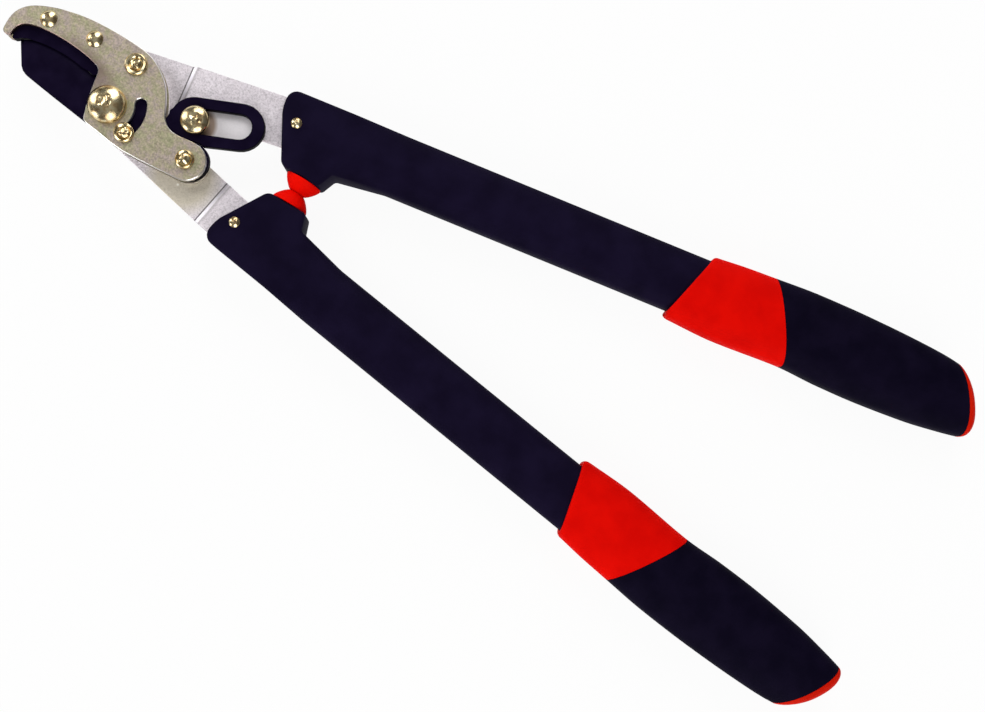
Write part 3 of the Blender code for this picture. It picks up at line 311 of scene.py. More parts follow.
def gold_zinc():
    """Bright yellow zinc on the rivets, the bolt and the stud, browner in patches."""
    surface, tree, shader = new_material("gold_zinc", roughness=0.16, metallic=1.0)
    patch = noise_node(tree, 300.0, detail=3.0)
    colour = ramp(tree, patch, [
        (0.36, (0.56, 0.39, 0.20)),
        (0.50, (0.76, 0.61, 0.34)),
        (0.64, (0.80, 0.70, 0.45)),
    ])
    tree.links.new(colour, shader.inputs["Base Color"])
    wave = noise_node(tree, 700.0)
    tree.links.new(spread(tree, wave, 0.20, 0.27), shader.inputs["Roughness"])
    bump(tree, shader, wave, distance=0.00004, strength=0.4)
    return surface


def black_coating():
    """The dark non-stick coating on the blade, the anvil and the spacer, with painted shade on
    its chamfers and cut edges.
    """
    surface, tree, shader = new_material("black_coating", roughness=0.5, specular=0.02)
    colour = ramp(tree, noise_node(tree, 90.0, detail=3.0), [
        (0.35, (0.0044, 0.0022, 0.0125)),
        (0.65, (0.0078, 0.0046, 0.0195)),
    ])
    # Painted shade: chamfers and cut edges darker than the coating, widening the dark gap by the
    # anvil
    edge = (0.0008, 0.0004, 0.003)
    shade = mix_colour(tree, flatness(tree), edge, colour)
    tree.links.new(shade, shader.inputs["Base Color"])
    peel = noise_node(tree, 1500.0)
    tree.links.new(spread(tree, peel, 0.40, 0.54), shader.inputs["Roughness"])
    bump(tree, shader, peel, distance=0.00003, strength=0.4)
    return surface


def moulded_nylon():
    """Fine sparked texture of the handle mouldings."""
    surface, tree, shader = new_material("moulded_nylon", roughness=0.6, specular=0.02)
    colour = ramp(tree, noise_node(tree, 60.0, detail=3.0), [
        (0.35, (0.0058, 0.0036, 0.0150)),
        (0.65, (0.0085, 0.0055, 0.0215)),
    ])
    tree.links.new(colour, shader.inputs["Base Color"])
    grain = noise_node(tree, 2200.0, roughness=0.7)
    tree.links.new(spread(tree, grain, 0.54, 0.68), shader.inputs["Roughness"])
    bump(tree, shader, grain, distance=0.00005, strength=0.6)
    return surface


def soft_rubber(name, dark, light, roughness, specular):
    """Soft over-moulded rubber in one colour, with a fine matt grain."""
    surface, tree, shader = new_material(name, roughness, specular=specular)
    colour = ramp(tree, noise_node(tree, 70.0, detail=3.0), [(0.35, dark), (0.65, light)])
    tree.links.new(colour, shader.inputs["Base Color"])
    grain = noise_node(tree, 1600.0, roughness=0.7)
    rough = spread(tree, grain, roughness - 0.05, roughness + 0.10)
    tree.links.new(rough, shader.inputs["Roughness"])
    bump(tree, shader, grain, distance=0.00005, strength=0.5)
    return surface


# Marks on the straps: painted light, a painted shadow and reflection, a painted glint and an olive
# tone
STUD_SHADOW_AND_REFLECTION = (0.36, 0.24, 0.16)
OLIVE = (0.66, 0.59, 0.33)
SLOT_PAINTED_LIGHT = (1.0, 0.97, 0.99)
PAINTED_GLINT = (1.0, 0.97, 0.90)
UPPER_MARKS = [
    # Painted light on the strap seen through the loop's slot, where the loop shades it
    (Spot((70.0, 27.5), 13.0, 19.0, 0.80), SLOT_PAINTED_LIGHT),
    # A painted shadow and amber reflection of the stud's dome, in a ring round it
    (Spot((51.4, 19.0), 9.6, 12.4, 0.85), STUD_SHADOW_AND_REFLECTION),
]
LOWER_MARKS = [
    (Spot((60.0, -14.0), 16.0, 26.0, 0.50), OLIVE),
    # A painted glint: a small bright dot on the lower strap
    (Spot((59.3, -19.3), 0.4, 1.0), PAINTED_GLINT),
]

SATIN = satin_plate()
UPPER_STEEL = blasted_strap("upper_strap_steel", UPPER_JOGGLE, JOGGLE_LEAN, UPPER_MARKS)
LOWER_STEEL = blasted_strap("lower_strap_steel", LOWER_JOGGLE, -JOGGLE_LEAN, LOWER_MARKS)
GOLD = gold_zinc()
COATING = black_coating()
NYLON = moulded_nylon()
RED = soft_rubber("red_rubber", dark=(0.87, 0.003, 0.0005), light=(0.94, 0.005, 0.001),
                  roughness=0.6, specular=0.02)
SLEEVE_RED = soft_rubber("sleeve_red_rubber", dark=(0.72, 0.002, 0.0003),
                         light=(0.81, 0.003, 0.0006), roughness=0.6, specular=0.02)
CAP_RED = soft_rubber("cap_red_rubber", dark=(0.60, 0.008, 0.001),
                      light=(0.68, 0.012, 0.002), roughness=0.6, specular=0.03)
BLACK = soft_rubber("black_rubber", dark=(0.0034, 0.0022, 0.0095),
                    light=(0.0056, 0.0036, 0.0140), roughness=0.62, specular=0.02)

# The finish of each material slot, and of the nodes that differ from their slot
FINISH = {
    "plate_steel": SATIN,
    "strap_steel": UPPER_STEEL,
    "zinc_plating": GOLD,
    "coated_steel": COATING,
    "nylon": NYLON,
    "red_rubber": RED,
    "black_rubber": BLACK,
}
OWN_FINISH = {
    "lower_strap": LOWER_STEEL,
    "upper_sleeve": SLEEVE_RED,
    "lower_sleeve": SLEEVE_RED,
    "upper_end_cap": CAP_RED,
    "lower_end_cap": CAP_RED,
}


def finish_of(node):
    return OWN_FINISH.get(node, FINISH[SLOT[node]])


# Shading of the pieces that come from the model

WELD = 0.000002
SHARP = math.radians(32.0)
TURNED_SHARP = math.radians(40.0)


def smoothing_group(limit):
    """Geometry nodes that weld a mesh and shade it smooth up to a face angle.

    The mesh's own custom normals go first, so that the angle alone decides.
    """
    group = bpy.data.node_groups.new("smooth_by_angle", "GeometryNodeTree")
    for way in ("INPUT", "OUTPUT"):
        group.interface.new_socket("Geometry", in_out=way,
                                   socket_type="NodeSocketGeometry")
    make = group.nodes.new
    source = make("NodeGroupInput")
    target = make("NodeGroupOutput")
    plain = make("GeometryNodeRemoveAttribute")
    plain.inputs["Name"].default_value = "custom_normal"
    weld = make("GeometryNodeMergeByDistance")
    weld.inputs["Distance"].default_value = WELD
    faces = make("GeometryNodeSetShadeSmooth")
    faces.domain = "FACE"
    edges = make("GeometryNodeSetShadeSmooth")
    edges.domain = "EDGE"
    edges.inputs["Shade Smooth"].default_value = False
    every = make("GeometryNodeSetShadeSmooth")
    every.domain = "EDGE"
    angle = make("GeometryNodeInputMeshEdgeAngle")
    sharp = make("FunctionNodeCompare")
    sharp.data_type = "FLOAT"
    sharp.operation = "GREATER_THAN"
    sharp.inputs["B"].default_value = limit
    link = group.links.new
    link(source.outputs[0], plain.inputs["Geometry"])
    link(plain.outputs["Geometry"], weld.inputs["Geometry"])
    link(weld.outputs["Geometry"], faces.inputs["Geometry"])
    link(faces.outputs["Geometry"], every.inputs["Geometry"])
    link(every.outputs["Geometry"], edges.inputs["Geometry"])
    link(angle.outputs["Unsigned Angle"], sharp.inputs["A"])
    link(sharp.outputs["Result"], edges.inputs["Selection"])
    link(edges.outputs["Geometry"], target.inputs[0])
    return group


SMOOTH = smoothing_group(SHARP)


def dress(node):
    """Give a CAD node its material and smooth shading."""
    obj = NODES[node]
    obj.data.materials.clear()
    obj.data.materials.append(finish_of(node))
    shade = obj.modifiers.new("smooth", "NODES")
    shade.node_group = SMOOTH


# Pieces that stand for a node of the model, with a finer surface

def stand_in(name, node, bm, limit=SHARP):
    """Make a piece of a mesh in millimetres, in the place and finish of a node."""
    bmesh.ops.recalc_face_normals(bm, faces=bm.faces)
    for face in bm.faces:
        face.smooth = True
    for edge in bm.edges:
        edge.smooth = edge.calc_face_angle(0.0) < limit
    bmesh.ops.scale(bm, vec=(MM, MM, MM), verts=bm.verts)
    mesh = bpy.data.meshes.new(name)
    bm.to_mesh(mesh)
    bm.free()
    mesh.materials.append(finish_of(node))
    obj = bpy.data.objects.new(name, mesh)
    bpy.context.scene.collection.objects.link(obj)
    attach(obj, BODY[node])
    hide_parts(node)


def bridge(bm, first, second):
    """Faces between two rings, either of which may be a single point."""
    count = max(len(first), len(second))
    for i in range(count):
        j = (i + 1) % count
        if len(first) == 1:
            bm.faces.new((first[0], second[j], second[i]))
        elif len(second) == 1:
            bm.faces.new((first[i], first[j], second[0]))
        else:
            bm.faces.new((first[i], first[j], second[j], second[i]))


# Rivets, the bolt and the stud, from (radius, height) profiles in millimetres

TURNS = 80
REAR_STEPS = 8

# A domed head's straight rim, with a ring part way up that keeps its shading crisp
RIM = 0.9
RIM_RING = 0.6


# Radii of the shanks, and radii and heights of the heads and of the domes at the back
BOLT_SHANK = 5.0
BOLT_LEAD = 0.7
BOLT_HEAD = (12.0, 7.0)
STUD_SHANK = 4.0
STUD_HEAD = (9.2, 5.0)
STUD_FOOT = (6.0, 2.2)
PIN_SHANK = 3.4
PIN_HEAD = 6.3
RIVET_SHANK = 3.0
REAR_HEAD_HEIGHT = 2.4
PIVOT_RIVET_HEAD = 7.1
LOBE_RIVET_HEAD = 6.0
ANVIL_RIVET_SHANK = 2.5
ANVIL_RIVET_HEAD = (5.3, 2.6)
HANDLE_RIVET_SHANK = 2.0
HANDLE_RIVET_HEAD = (3.5, 1.8)

# A peened head: its side's height, how far in and how high its chamfer ends, the share of
# its radius and the height of its shoulder, and the share of its radius where it is flat
PEENED_HEIGHT = 1.7
PEENED_SIDE = 0.6
PEENED_CHAMFER = (0.15, 1.0)
PEENED_SHOULDER = (0.92, 1.45)
PEENED_FACE = 0.86

# The groove in a peened head, as radii and depths below its face, and the nub inside it
GROOVE_EDGE = (4.7, 0.35)
GROOVE_FLOOR = (3.9, 0.75)
NUB = (3.7, 2.0)

# A hammered patch about a place on a head, in waves of noise: it is full to one share of
# its reach and fades out at another, on points above a height
Mark = namedtuple("Mark", "centre reach deep wave seed")
MARK_FADE = (0.80, 1.25)
MARK_LOWEST_Z = 24.9
FINER = 2.1
FINER_SEED = 9.0
FINER_SHARE = 0.22
MIDDLE = (0.0, 0.0)
BOLT_MARK = Mark(centre=(-0.3, 0.5), reach=3.9, deep=0.90, wave=2.8, seed=57.0)
STUD_MARK = Mark(centre=(1.0, 0.2), reach=3.9, deep=0.90, wave=3.3, seed=11.0)


def dome(radius, height, base, steps):
    """The profile of a domed head above base, from its rim up to the axis."""
    points = []
    for k in range(steps):
        a = math.radians(90.0 * k / steps)
        points.append((radius * math.cos(a), base + height * math.sin(a)))
    return points + [(0.0, base + height)]


def rimmed_dome(radius, height, seat, steps):
    """The profile of a domed head on a straight rim, from its seat up to the axis."""
    return [(radius, seat), (radius, seat + RIM_RING)] + dome(radius, height, seat + RIM, steps)


def cap(radius, height, base, steps):
    """The profile of a head that is a slice of a ball, from its rim up to the axis."""
    ball = (radius * radius + height * height) / (2.0 * height)
    sweep = math.asin(radius / ball)
    points = []
    for k in range(steps):
        a = sweep * (1.0 - k / steps)
        points.append((ball * math.sin(a), base + height - ball * (1.0 - math.cos(a))))
    return points + [(0.0, base + height)]


def rear_dome(radius, height, seat):
    """The profile of a plain dome below a seat, from the axis out to its rim."""
    above = dome(radius, height, seat, REAR_STEPS)
    return [(r, 2 * seat - z) for r, z in reversed(above)]


def line(first, last, steps):
    """Points from first up to, but not with, last."""
    return [tuple(a + (b - a) * k / steps for a, b in zip(first, last)) for k in range(steps)]


def peened_head(radius, base):
    """A flat head, a groove worn round its middle, and a hammered nub inside it."""
    top = base + PEENED_HEIGHT
    chamfer = (radius - PEENED_CHAMFER[0], base + PEENED_CHAMFER[1])
    shoulder = (radius * PEENED_SHOULDER[0], base + PEENED_SHOULDER[1])
    face = (radius * PEENED_FACE, top)
    edge = (GROOVE_EDGE[0], top - GROOVE_EDGE[1])
    bottom = (GROOVE_FLOOR[0], top - GROOVE_FLOOR[1])
    profile = [(radius, base), (radius, base + PEENED_SIDE), chamfer, shoulder]
    profile += line(face, edge, steps=5) + line(edge, bottom, steps=3)
    return profile + dome(*NUB, bottom[1], steps=16)


def pushed_down(x, y, mark):
    """How far a hammer has pushed a point down, from 0 to the mark's depth."""
    x /= mark.wave
    y /= mark.wave
    broad = noise.noise(Vector((x, y, mark.seed)))
    fine = noise.noise(Vector((x * FINER, y * FINER, mark.seed + FINER_SEED)))
    return mark.deep * min(max(0.5 + broad + FINER_SHARE * fine, 0.0), 1.0)


def hammer(bm, mark):
    """Push down the top of a head round the mark's centre."""
    full, none = (share * mark.reach for share in MARK_FADE)
    for vert in bm.verts:
        x, y, z = vert.co
        away = math.hypot(x - mark.centre[0], y - mark.centre[1])
        share = min(max((none - away) / (none - full), 0.0), 1.0)
        if z > MARK_LOWEST_Z:
            vert.co.z -= share * pushed_down(x, y, mark)


def turned(node, profile, place, mark):
    """Turn a profile about a vertical at place, and hammer its top."""
    bm = bmesh.new()
    rings = []
    for r, z in profile:
        if r == 0.0:
            rings.append([bm.verts.new((0.0, 0.0, z))])
            continue
        ring = []
        for k in range(TURNS):
            a = math.tau * k / TURNS
            ring.append(bm.verts.new((r * math.cos(a), r * math.sin(a), z)))
        rings.append(ring)
    for first, second in zip(rings, rings[1:]):
        bridge(bm, first, second)
    hammer(bm, mark)
    bmesh.ops.translate(bm, verts=bm.verts, vec=(*place, 0.0))
    stand_in(node + "_turned", node, bm, TURNED_SHARP)


def rivet(node, place, back, shank, head, mark):
    """Turn a rivet from its back's profile, a straight shank and its head's profile."""
    low = back[-1][1]
    high = head[0][1]
    turned(node, back + [(shank, low), (shank, high)] + head, place, mark)


def nub_mark(seed):
    """The hammer's marks on the nub of a peened head."""
    return Mark(MIDDLE, reach=4.0, deep=1.00, wave=3.3, seed=seed)


def fasteners():
    """Every head that shows, turned fine enough for clean reflections."""
    bolt = [(0.0, 0.0), (BOLT_SHANK - BOLT_LEAD, 0.0), (BOLT_SHANK, BOLT_LEAD),
            (BOLT_SHANK, PLATE_SEAT)]
    bolt += rimmed_dome(*BOLT_HEAD, PLATE_SEAT, steps=44)
    turned("pivot_bolt", bolt, PIVOT, BOLT_MARK)

    rivet("drive_stud", DRIVE_STUD, rear_dome(*STUD_FOOT, RAISED_STRAP_SEAT), STUD_SHANK,
          rimmed_dome(*STUD_HEAD, LOOP_SEAT, steps=34), STUD_MARK)

    for node, place, radius, seed in (
            ("handle_pivot_rivet", HANDLE_PIVOT, PIVOT_RIVET_HEAD, 21.0),
            ("lobe_rivet", LOBE_RIVET, LOBE_RIVET_HEAD, 32.5)):
        rivet(node, place, rear_dome(radius, REAR_HEAD_HEIGHT, STRAP_SEAT), RIVET_SHANK,
              peened_head(radius, PLATE_SEAT), nub_mark(seed))

    pin = [(0.0, PIN_FOOT), (PIN_SHANK, PIN_FOOT), (PIN_SHANK, PLATE_SEAT)]
    pin += peened_head(PIN_HEAD, PLATE_SEAT)
    turned("stop_pin", pin, STOP_PIN, nub_mark(44.0))

    for node, place in zip(("tip_anvil_rivet", "heel_anvil_rivet"), ANVIL_RIVETS):
        rivet(node, place, rear_dome(*ANVIL_RIVET_HEAD, REAR_PLATE_SEAT), ANVIL_RIVET_SHANK,
              cap(*ANVIL_RIVET_HEAD, PLATE_SEAT, steps=22),
              Mark(MIDDLE, reach=1.8, deep=0.12, wave=1.4, seed=place[0]))

    for node, place in zip(("upper_handle_rivet", "lower_handle_rivet"), HANDLE_RIVETS):
        rivet(node, place, rear_dome(*HANDLE_RIVET_HEAD, REAR_HANDLE_SEAT), HANDLE_RIVET_SHANK,
              cap(*HANDLE_RIVET_HEAD, HANDLE_SEAT, steps=16),
              Mark(MIDDLE, reach=1.6, deep=0.30, wave=1.0, seed=place[1]))


# The lower part of the anvil's heel, and how far its lip comes down
HEEL_X = (-24.0, -18.5)
HEEL_TOP_Y = 12.6
HEEL_TOP_Z = 19.0
HEEL_LIP = 0.5


def anvil():
    """The anvil with a lip under its heel, where daylight would show past the edge."""
    bm = bmesh.new()
    bm.from_mesh(NODES["anvil"].data)
    bmesh.ops.remove_doubles(bm, verts=bm.verts, dist=WELD)
    bmesh.ops.scale(bm, vec=(1 / MM, 1 / MM, 1 / MM), verts=bm.verts)
    for vert in bm.verts:
        x, y, z = vert.co
        if z < HEEL_TOP_Z and HEEL_X[0] < x < HEEL_X[1] and y < HEEL_TOP_Y:
            vert.co.y -= HEEL_LIP
    stand_in("anvil_lipped", "anvil", bm)


# Grips, in millimetres: u runs along the handle's axis and v across it, outwards

HANDLE_TILT = math.radians(8.4)
HANDLE_MEET_X = -145.6
HANDLE_STAGGER = 1.2
HANDLE_Z = 16.0
HALF_THICK = 12.0
SHAFT_HALF_WIDTH = 19.4
SHAFT_EDGE = 8.0
CORE_HALF_WIDTH = 16.0
CORE_TAPER = (532.0, 582.0)
CORE_END = 682.2
GAP = 0.3

# Where the pieces start and end on the axis, and how these lines slant and bow
SLEEVE_START = 517.5
SLEEVE_SLANT = 7.0
SLEEVE_END = 578.2
SLEEVE_END_SLANT = -9.2
SLEEVE_END_BOW = -0.8
GRIP_END = 700.2
GRIP_END_SLANT = -9.2
GRIP_END_BOW = -2.8
GRIP_BORE_START = 600.0
CAP_BULGE = 7.8

# The sleeve's start draws back where it runs out at the sides, most at the inner one
CORNER_START = 20.0
CORNER_WIDTH = 4.5
INNER_CORNER = 3.0
OUTER_CORNER = 1.5

# The sleeve's rounded lip, its length and how much narrower it starts
LIP = 2.2
LIP_SHARE = 0.05

# (u, reach) stations of the grip's outline, and half the power of its superellipse section
OUTER_EDGE = [(529.0, 22.8), (545.0, 24.0), (567.0, 24.8), (592.0, 25.6), (615.0, 25.2),
              (640.0, 24.0), (662.0, 22.4), (682.0, 20.3), (697.0, 17.3)]
INNER_EDGE = [(512.0, 24.2), (545.0, 26.3), (587.0, 25.3), (615.0, 27.2), (640.0, 27.9),
              (672.0, 27.2), (697.0, 24.9), (717.0, 22.0)]
GRIP_DEPTH = [(507.0, 14.6), (567.0, 16.0), (657.0, 16.0), (717.0, 13.5)]
GRIP_POWER = 1.5

# Points round the core's section, rings along the pieces, and the cap's widest angle
CORNER_STEPS = 12
SIDE_STEPS = 3
CROWN_STEPS = 12
LIP_RINGS = 6
SLEEVE_RINGS = 14
GRIP_RINGS = 30
CAP_RINGS = 11
CAP_SWEEP = 86.0

# Rounds in which the place and the width of a slanted ring settle
CORE_ROUNDS = 4
SKIN_ROUNDS = 5


def placed(u, v, side):
    """World place of a handle point, on the upper handle or mirrored to the lower."""
    x = HANDLE_MEET_X + u * math.cos(HANDLE_TILT) - v * math.sin(HANDLE_TILT)
    y = u * math.sin(HANDLE_TILT) + v * math.cos(HANDLE_TILT)
    return (x - side * HANDLE_STAGGER, MIDLINE_Y + side * y)


# Cross-lines are functions that give u for a v

def cross_line(u, slant, bow):
    """A slanted and bowed cross-line through u on the axis."""
    def at(v):
        share = v / SHAFT_HALF_WIDTH
        return u + slant * share + bow * share * share
    return at


sleeve_end = cross_line(SLEEVE_END, SLEEVE_END_SLANT, SLEEVE_END_BOW)
grip_end = cross_line(GRIP_END, GRIP_END_SLANT, GRIP_END_BOW)


def sleeve_start(v):
    """The sleeve's slanted edge, rounded away where it runs out at the sides."""
    share = v / SHAFT_HALF_WIDTH
    corner = max(abs(v) - CORNER_START, 0.0) / CORNER_WIDTH
    back = INNER_CORNER if v < 0.0 else OUTER_CORNER
    return SLEEVE_START + SLEEVE_SLANT * share + back * corner * corner


def lip_end(v):
    """Where the sleeve's rounded lip has reached its full width."""
    return sleeve_start(v) + LIP


def between(first, last, share):
    """The cross-line that lies a share of the way from first to last."""
    return lambda v: first(v) + (last(v) - first(v)) * share


def straight(u):
    """The cross-line square to the axis at u."""
    return lambda v: u


def slope(stations, i):
    """The curve's slope at a station: level where the values turn back or stay."""
    rates = [(b - a) / (u1 - u0) for (u0, a), (u1, b) in zip(stations, stations[1:])]
    before = rates[max(i - 1, 0)]
    after = rates[min(i, len(rates) - 1)]
    if before * after <= 0.0:
        return 0.0
    return 2.0 * before * after / (before + after)


def along(stations, u):
    """Value at u of a smooth curve through (u, value) stations."""
    u = min(max(u, stations[0][0]), stations[-1][0])
    i = 0
    while u > stations[i + 1][0]:
        i += 1
    u0, a = stations[i]
    u1, b = stations[i + 1]
    span = u1 - u0
    t = (u - u0) / span
    rise = slope(stations, i) * span
    fall = slope(stations, i + 1) * span
    return (a + t * rise + t * t * (3 * (b - a) - 2 * rise - fall)
            + t * t * t * (2 * (a - b) + rise + fall))


def core_section(grow):
    """(flat, out, height) round the core: flat is a share of its flat half width."""
    reach = SHAFT_EDGE + grow
    rise = HALF_THICK - SHAFT_EDGE
    corner = []
    for k in range(CORNER_STEPS + 1):
        a = math.radians(90.0 * k / CORNER_STEPS)
        corner.append((1.0, reach * math.cos(a), rise + reach * math.sin(a)))
    side = [(1.0, reach, rise * k / SIDE_STEPS) for k in range(SIDE_STEPS)]
    crown = [(1.0 - 2 * k / CROWN_STEPS, 0.0, rise + reach) for k in range(1, CROWN_STEPS)]
    far_corner = [(-flat, -out, height) for flat, out, height in reversed(corner)]
    far_side = [(-flat, -out, height) for flat, out, height in reversed(side[1:])]
    half = side + corner + crown + far_corner + far_side
    return half + [(-flat, -out, -height) for flat, out, height in half]


CORE = core_section(0.0)
CORE_CLEAR = core_section(GAP)


def core_half(u):
    """Half the core's width at u, which narrows inside the sleeve."""
    share = (u - CORE_TAPER[0]) / (CORE_TAPER[1] - CORE_TAPER[0])
    return SHAFT_HALF_WIDTH + (CORE_HALF_WIDTH - SHAFT_HALF_WIDTH) * min(max(share, 0.0), 1.0)


def core_ring(edge, section, shift=0.0):
    """A ring on the handle's core along a cross-line."""
    ring = []
    for flat, out, height in section:
        v = 0.0
        for _ in range(CORE_ROUNDS):
            v = flat * (core_half(edge(v) + shift) - SHAFT_EDGE) + out
        ring.append((edge(v) + shift, v, HANDLE_Z + height))
    return ring


def skin(edge, shift=0.0, scale=1.0, bulge=0.0):
    """A ring on the grip's surface along a cross-line, facing the core's points."""
    ring = []
    for flat, out, height in CORE:
        side = flat * (SHAFT_HALF_WIDTH - SHAFT_EDGE) + out
        share = abs(side) / SHAFT_HALF_WIDTH
        rise = abs(height) / HALF_THICK
        angle = math.atan2(rise ** GRIP_POWER, share ** GRIP_POWER)
        across = math.copysign(abs(math.cos(angle)) ** (1 / GRIP_POWER), side)
        up = math.copysign(abs(math.sin(angle)) ** (1 / GRIP_POWER), height)
        v = 0.0
        for _ in range(SKIN_ROUNDS):
            u = edge(v) + shift
            outer = along(OUTER_EDGE, u)
            inner = along(INNER_EDGE, u)
            v = (outer - inner) / 2 + across * scale * (outer + inner) / 2
        depth = scale * along(GRIP_DEPTH, u)
        ring.append((edge(v) + shift + bulge, v, HANDLE_Z + up * depth))
    return ring


def bore(far, middle, near, shift):
    """Rings of the hole round the core, back from a piece's end to its start."""
    return [core_ring(far, CORE_CLEAR), core_ring(straight(middle), CORE_CLEAR),
            core_ring(near, CORE_CLEAR, shift)]


def loft(name, node, rings, side, closed):
    """Skin rings given in handle axes; closed joins the last ring to the first."""
    bm = bmesh.new()
    stack = [[bm.verts.new((*placed(u, v, side), z)) for u, v, z in ring] for ring in rings]
    for first, second in zip(stack, stack[1:]):
        bridge(bm, first, second)
    if closed:
        bridge(bm, stack[-1], stack[0])
    else:
        bm.faces.new(stack[0])
        bm.faces.new(stack[-1])
    stand_in(name, node, bm)


def sleeve(word, side):
    """The red sleeve, with its rounded lip towards the head."""
    rings = []
    for k in range(LIP_RINGS):
        a = math.radians(90.0 * k / LIP_RINGS)
        scale = 1.0 - LIP_SHARE * (1.0 - math.sin(a))
        rings.append(skin(sleeve_start, LIP * (1.0 - math.cos(a)), scale))
    for k in range(SLEEVE_RINGS + 1):
        rings.append(skin(between(lip_end, sleeve_end, k / SLEEVE_RINGS)))
    rings += bore(sleeve_end, CORE_TAPER[0], sleeve_start, 0.0)
    loft(word + "_sleeve_moulded", word + "_sleeve", rings, side, True)


def grip(word, side):
    """The black grip, a gap behind the sleeve."""
    rings = []
    for k in range(GRIP_RINGS + 1):
        share = k / GRIP_RINGS
        rings.append(skin(between(sleeve_end, grip_end, share), GAP * (1.0 - share)))
    rings += bore(grip_end, GRIP_BORE_START, sleeve_end, GAP)
    loft(word + "_grip_moulded", word + "_grip", rings, side, True)


def end_cap(word, side):
    """The red end cap, bulging behind the grip, and its plug over the core's end."""
    rings = []
    for k in range(CAP_RINGS, -1, -1):
        a = math.radians(CAP_SWEEP * k / CAP_RINGS)
        rings.append(skin(grip_end, GAP, math.cos(a), CAP_BULGE * math.sin(a)))
    rings += [core_ring(grip_end, CORE, GAP), core_ring(straight(CORE_END + GAP), CORE)]
    loft(word + "_cap_moulded", word + "_end_cap", rings, side, False)


# The stage, the lamps and the camera, in metres and degrees

FLOOR_REACH = 12.0
FLOOR_Z = -0.0002
FLOOR_TONE = 0.93
FLOOR_GLOW = 0.94
LAMP_AIM = Vector((0.10, 0.012, 0.0))
LAMP_DISTANCE = 3.0
CAMERA_LENS = 41.578
CAMERA_SENSOR = 36.0
CAMERA_NEAR = 0.01
CAMERA_TARGET = (0.282366, -0.011425, 0.020)
CAMERA_DISTANCE = 0.700
CAMERA_TURN = 30.6631
CAMERA_LEAN = (5.0361, -1.7742)


def floor_finish():
    """Pale, nearly white to the camera and in reflections, with the shadow kept."""
    surface, tree, shader = new_material("floor", roughness=0.9, specular=0.0)
    shader.inputs["Base Color"].default_value = (*grey(FLOOR_TONE), 1.0)
    glow = tree.nodes.new("ShaderNodeEmission")
    path = tree.nodes.new("ShaderNodeLightPath")
    seen = path.outputs["Is Camera Ray"]
    for word in ("Is Glossy Ray", "Is Transmission Ray"):
        either = tree.nodes.new("ShaderNodeMath")
        either.operation = "MAXIMUM"
        tree.links.new(seen, either.inputs[0])
        tree.links.new(path.outputs[word], either.inputs[1])
        seen = either.outputs[0]
    share = tree.nodes.new("ShaderNodeMath")
    share.operation = "MULTIPLY"
    share.inputs[1].default_value = FLOOR_GLOW
    tree.links.new(seen, share.inputs[0])
    mix = tree.nodes.new("ShaderNodeMixShader")
    tree.links.new(share.outputs[0], mix.inputs["Fac"])
    tree.links.new(shader.outputs["BSDF"], mix.inputs[1])
    tree.links.new(glow.outputs["Emission"], mix.inputs[2])
    out = tree.nodes["Material Output"]
    tree.links.new(mix.outputs["Shader"], out.inputs["Surface"])
    return surface


def floor():
    """A wide pale floor, a hair under the object's lowest face."""
    bm = bmesh.new()
    bmesh.ops.create_grid(bm, x_segments=1, y_segments=1, size=FLOOR_REACH)
    mesh = bpy.data.meshes.new("floor")
    bm.to_mesh(mesh)
    bm.free()
    mesh.materials.append(floor_finish())
    obj = bpy.data.objects.new("floor", mesh)
    obj.location.z = FLOOR_Z
    bpy.context.scene.collection.objects.link(obj)


def studio():
    """The room: grey at the horizon, darkest above it and paler again overhead."""
    world = bpy.data.worlds.new("studio")
    bpy.context.scene.world = world
    world.use_nodes = True
    tree = world.node_tree
    back = tree.nodes["Background"]
    place = tree.nodes.new("ShaderNodeTexCoord")
    split = tree.nodes.new("ShaderNodeSeparateXYZ")
    tree.links.new(place.outputs["Generated"], split.inputs["Vector"])
    shade = ramp(tree, split.outputs["Z"], [
        (0.00, grey(0.26)),
        (0.10, grey(0.12)),
        (0.35, grey(0.08)),
        (0.70, grey(0.10)),
        (0.90, grey(0.22)),
        (1.00, grey(0.36)),
    ])
    tree.links.new(shade, back.inputs["Color"])
    back.inputs["Strength"].default_value = 1.0


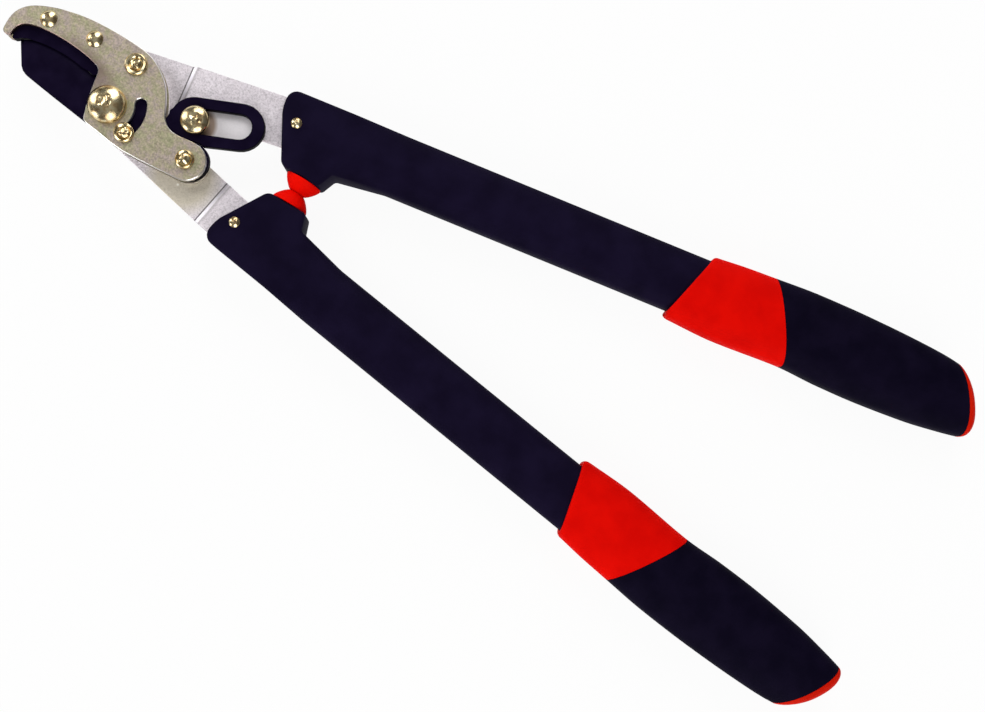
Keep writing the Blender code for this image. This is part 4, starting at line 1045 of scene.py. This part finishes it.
def softbox(name, azimuth, height, width, tall, glow):
    """An oval lamp of an even glow, height degrees up, aimed just behind the head."""
    data = bpy.data.lights.new(name, "AREA")
    data.shape = "ELLIPSE"
    data.size = width
    data.size_y = tall
    area = math.pi * width * tall / 4.0
    data.energy = glow * math.pi * area
    obj = bpy.data.objects.new(name, data)
    bpy.context.scene.collection.objects.link(obj)
    a = math.radians(azimuth)
    e = math.radians(height)
    way = Vector((math.cos(a) * math.cos(e), math.sin(a) * math.cos(e), math.sin(e)))
    obj.location = LAMP_AIM + way * LAMP_DISTANCE
    obj.rotation_euler = (-way).to_track_quat("-Z", "Y").to_euler()


def lamps():
    """Four softboxes round the tool, which also show in its domed heads."""
    softbox("lamp_back", azimuth=107.0, height=33.0, width=2.0, tall=3.2, glow=3.7)
    softbox("lamp_left", azimuth=181.0, height=25.0, width=1.5, tall=2.3, glow=3.6)
    softbox("lamp_right", azimuth=311.0, height=30.0, width=2.2, tall=3.0, glow=3.6)
    softbox("lamp_front", azimuth=237.0, height=11.0, width=1.2, tall=2.2, glow=3.7)


def camera():
    """The photograph's camera: nearly straight above, turned about its own axis."""
    data = bpy.data.cameras.new("camera")
    data.sensor_width = CAMERA_SENSOR
    data.lens = CAMERA_LENS
    data.clip_start = CAMERA_NEAR
    obj = bpy.data.objects.new("camera", data)
    bpy.context.scene.collection.objects.link(obj)
    turn = (Matrix.Rotation(math.radians(CAMERA_TURN), 4, "Z")
            @ Matrix.Rotation(math.radians(CAMERA_LEAN[1]), 4, "Y")
            @ Matrix.Rotation(math.radians(CAMERA_LEAN[0]), 4, "X"))
    aim = Matrix.Translation(CAMERA_TARGET)
    obj.matrix_world = aim @ turn @ Matrix.Translation((0.0, 0.0, CAMERA_DISTANCE))
    bpy.context.scene.camera = obj


for node in NODES:
    dress(node)
fasteners()
anvil()
for word, side in (("upper", 1), ("lower", -1)):
    sleeve(word, side)
    grip(word, side)
    end_cap(word, side)
floor()
studio()
lamps()
camera()

bpy.context.scene.view_settings.view_transform = "Standard"
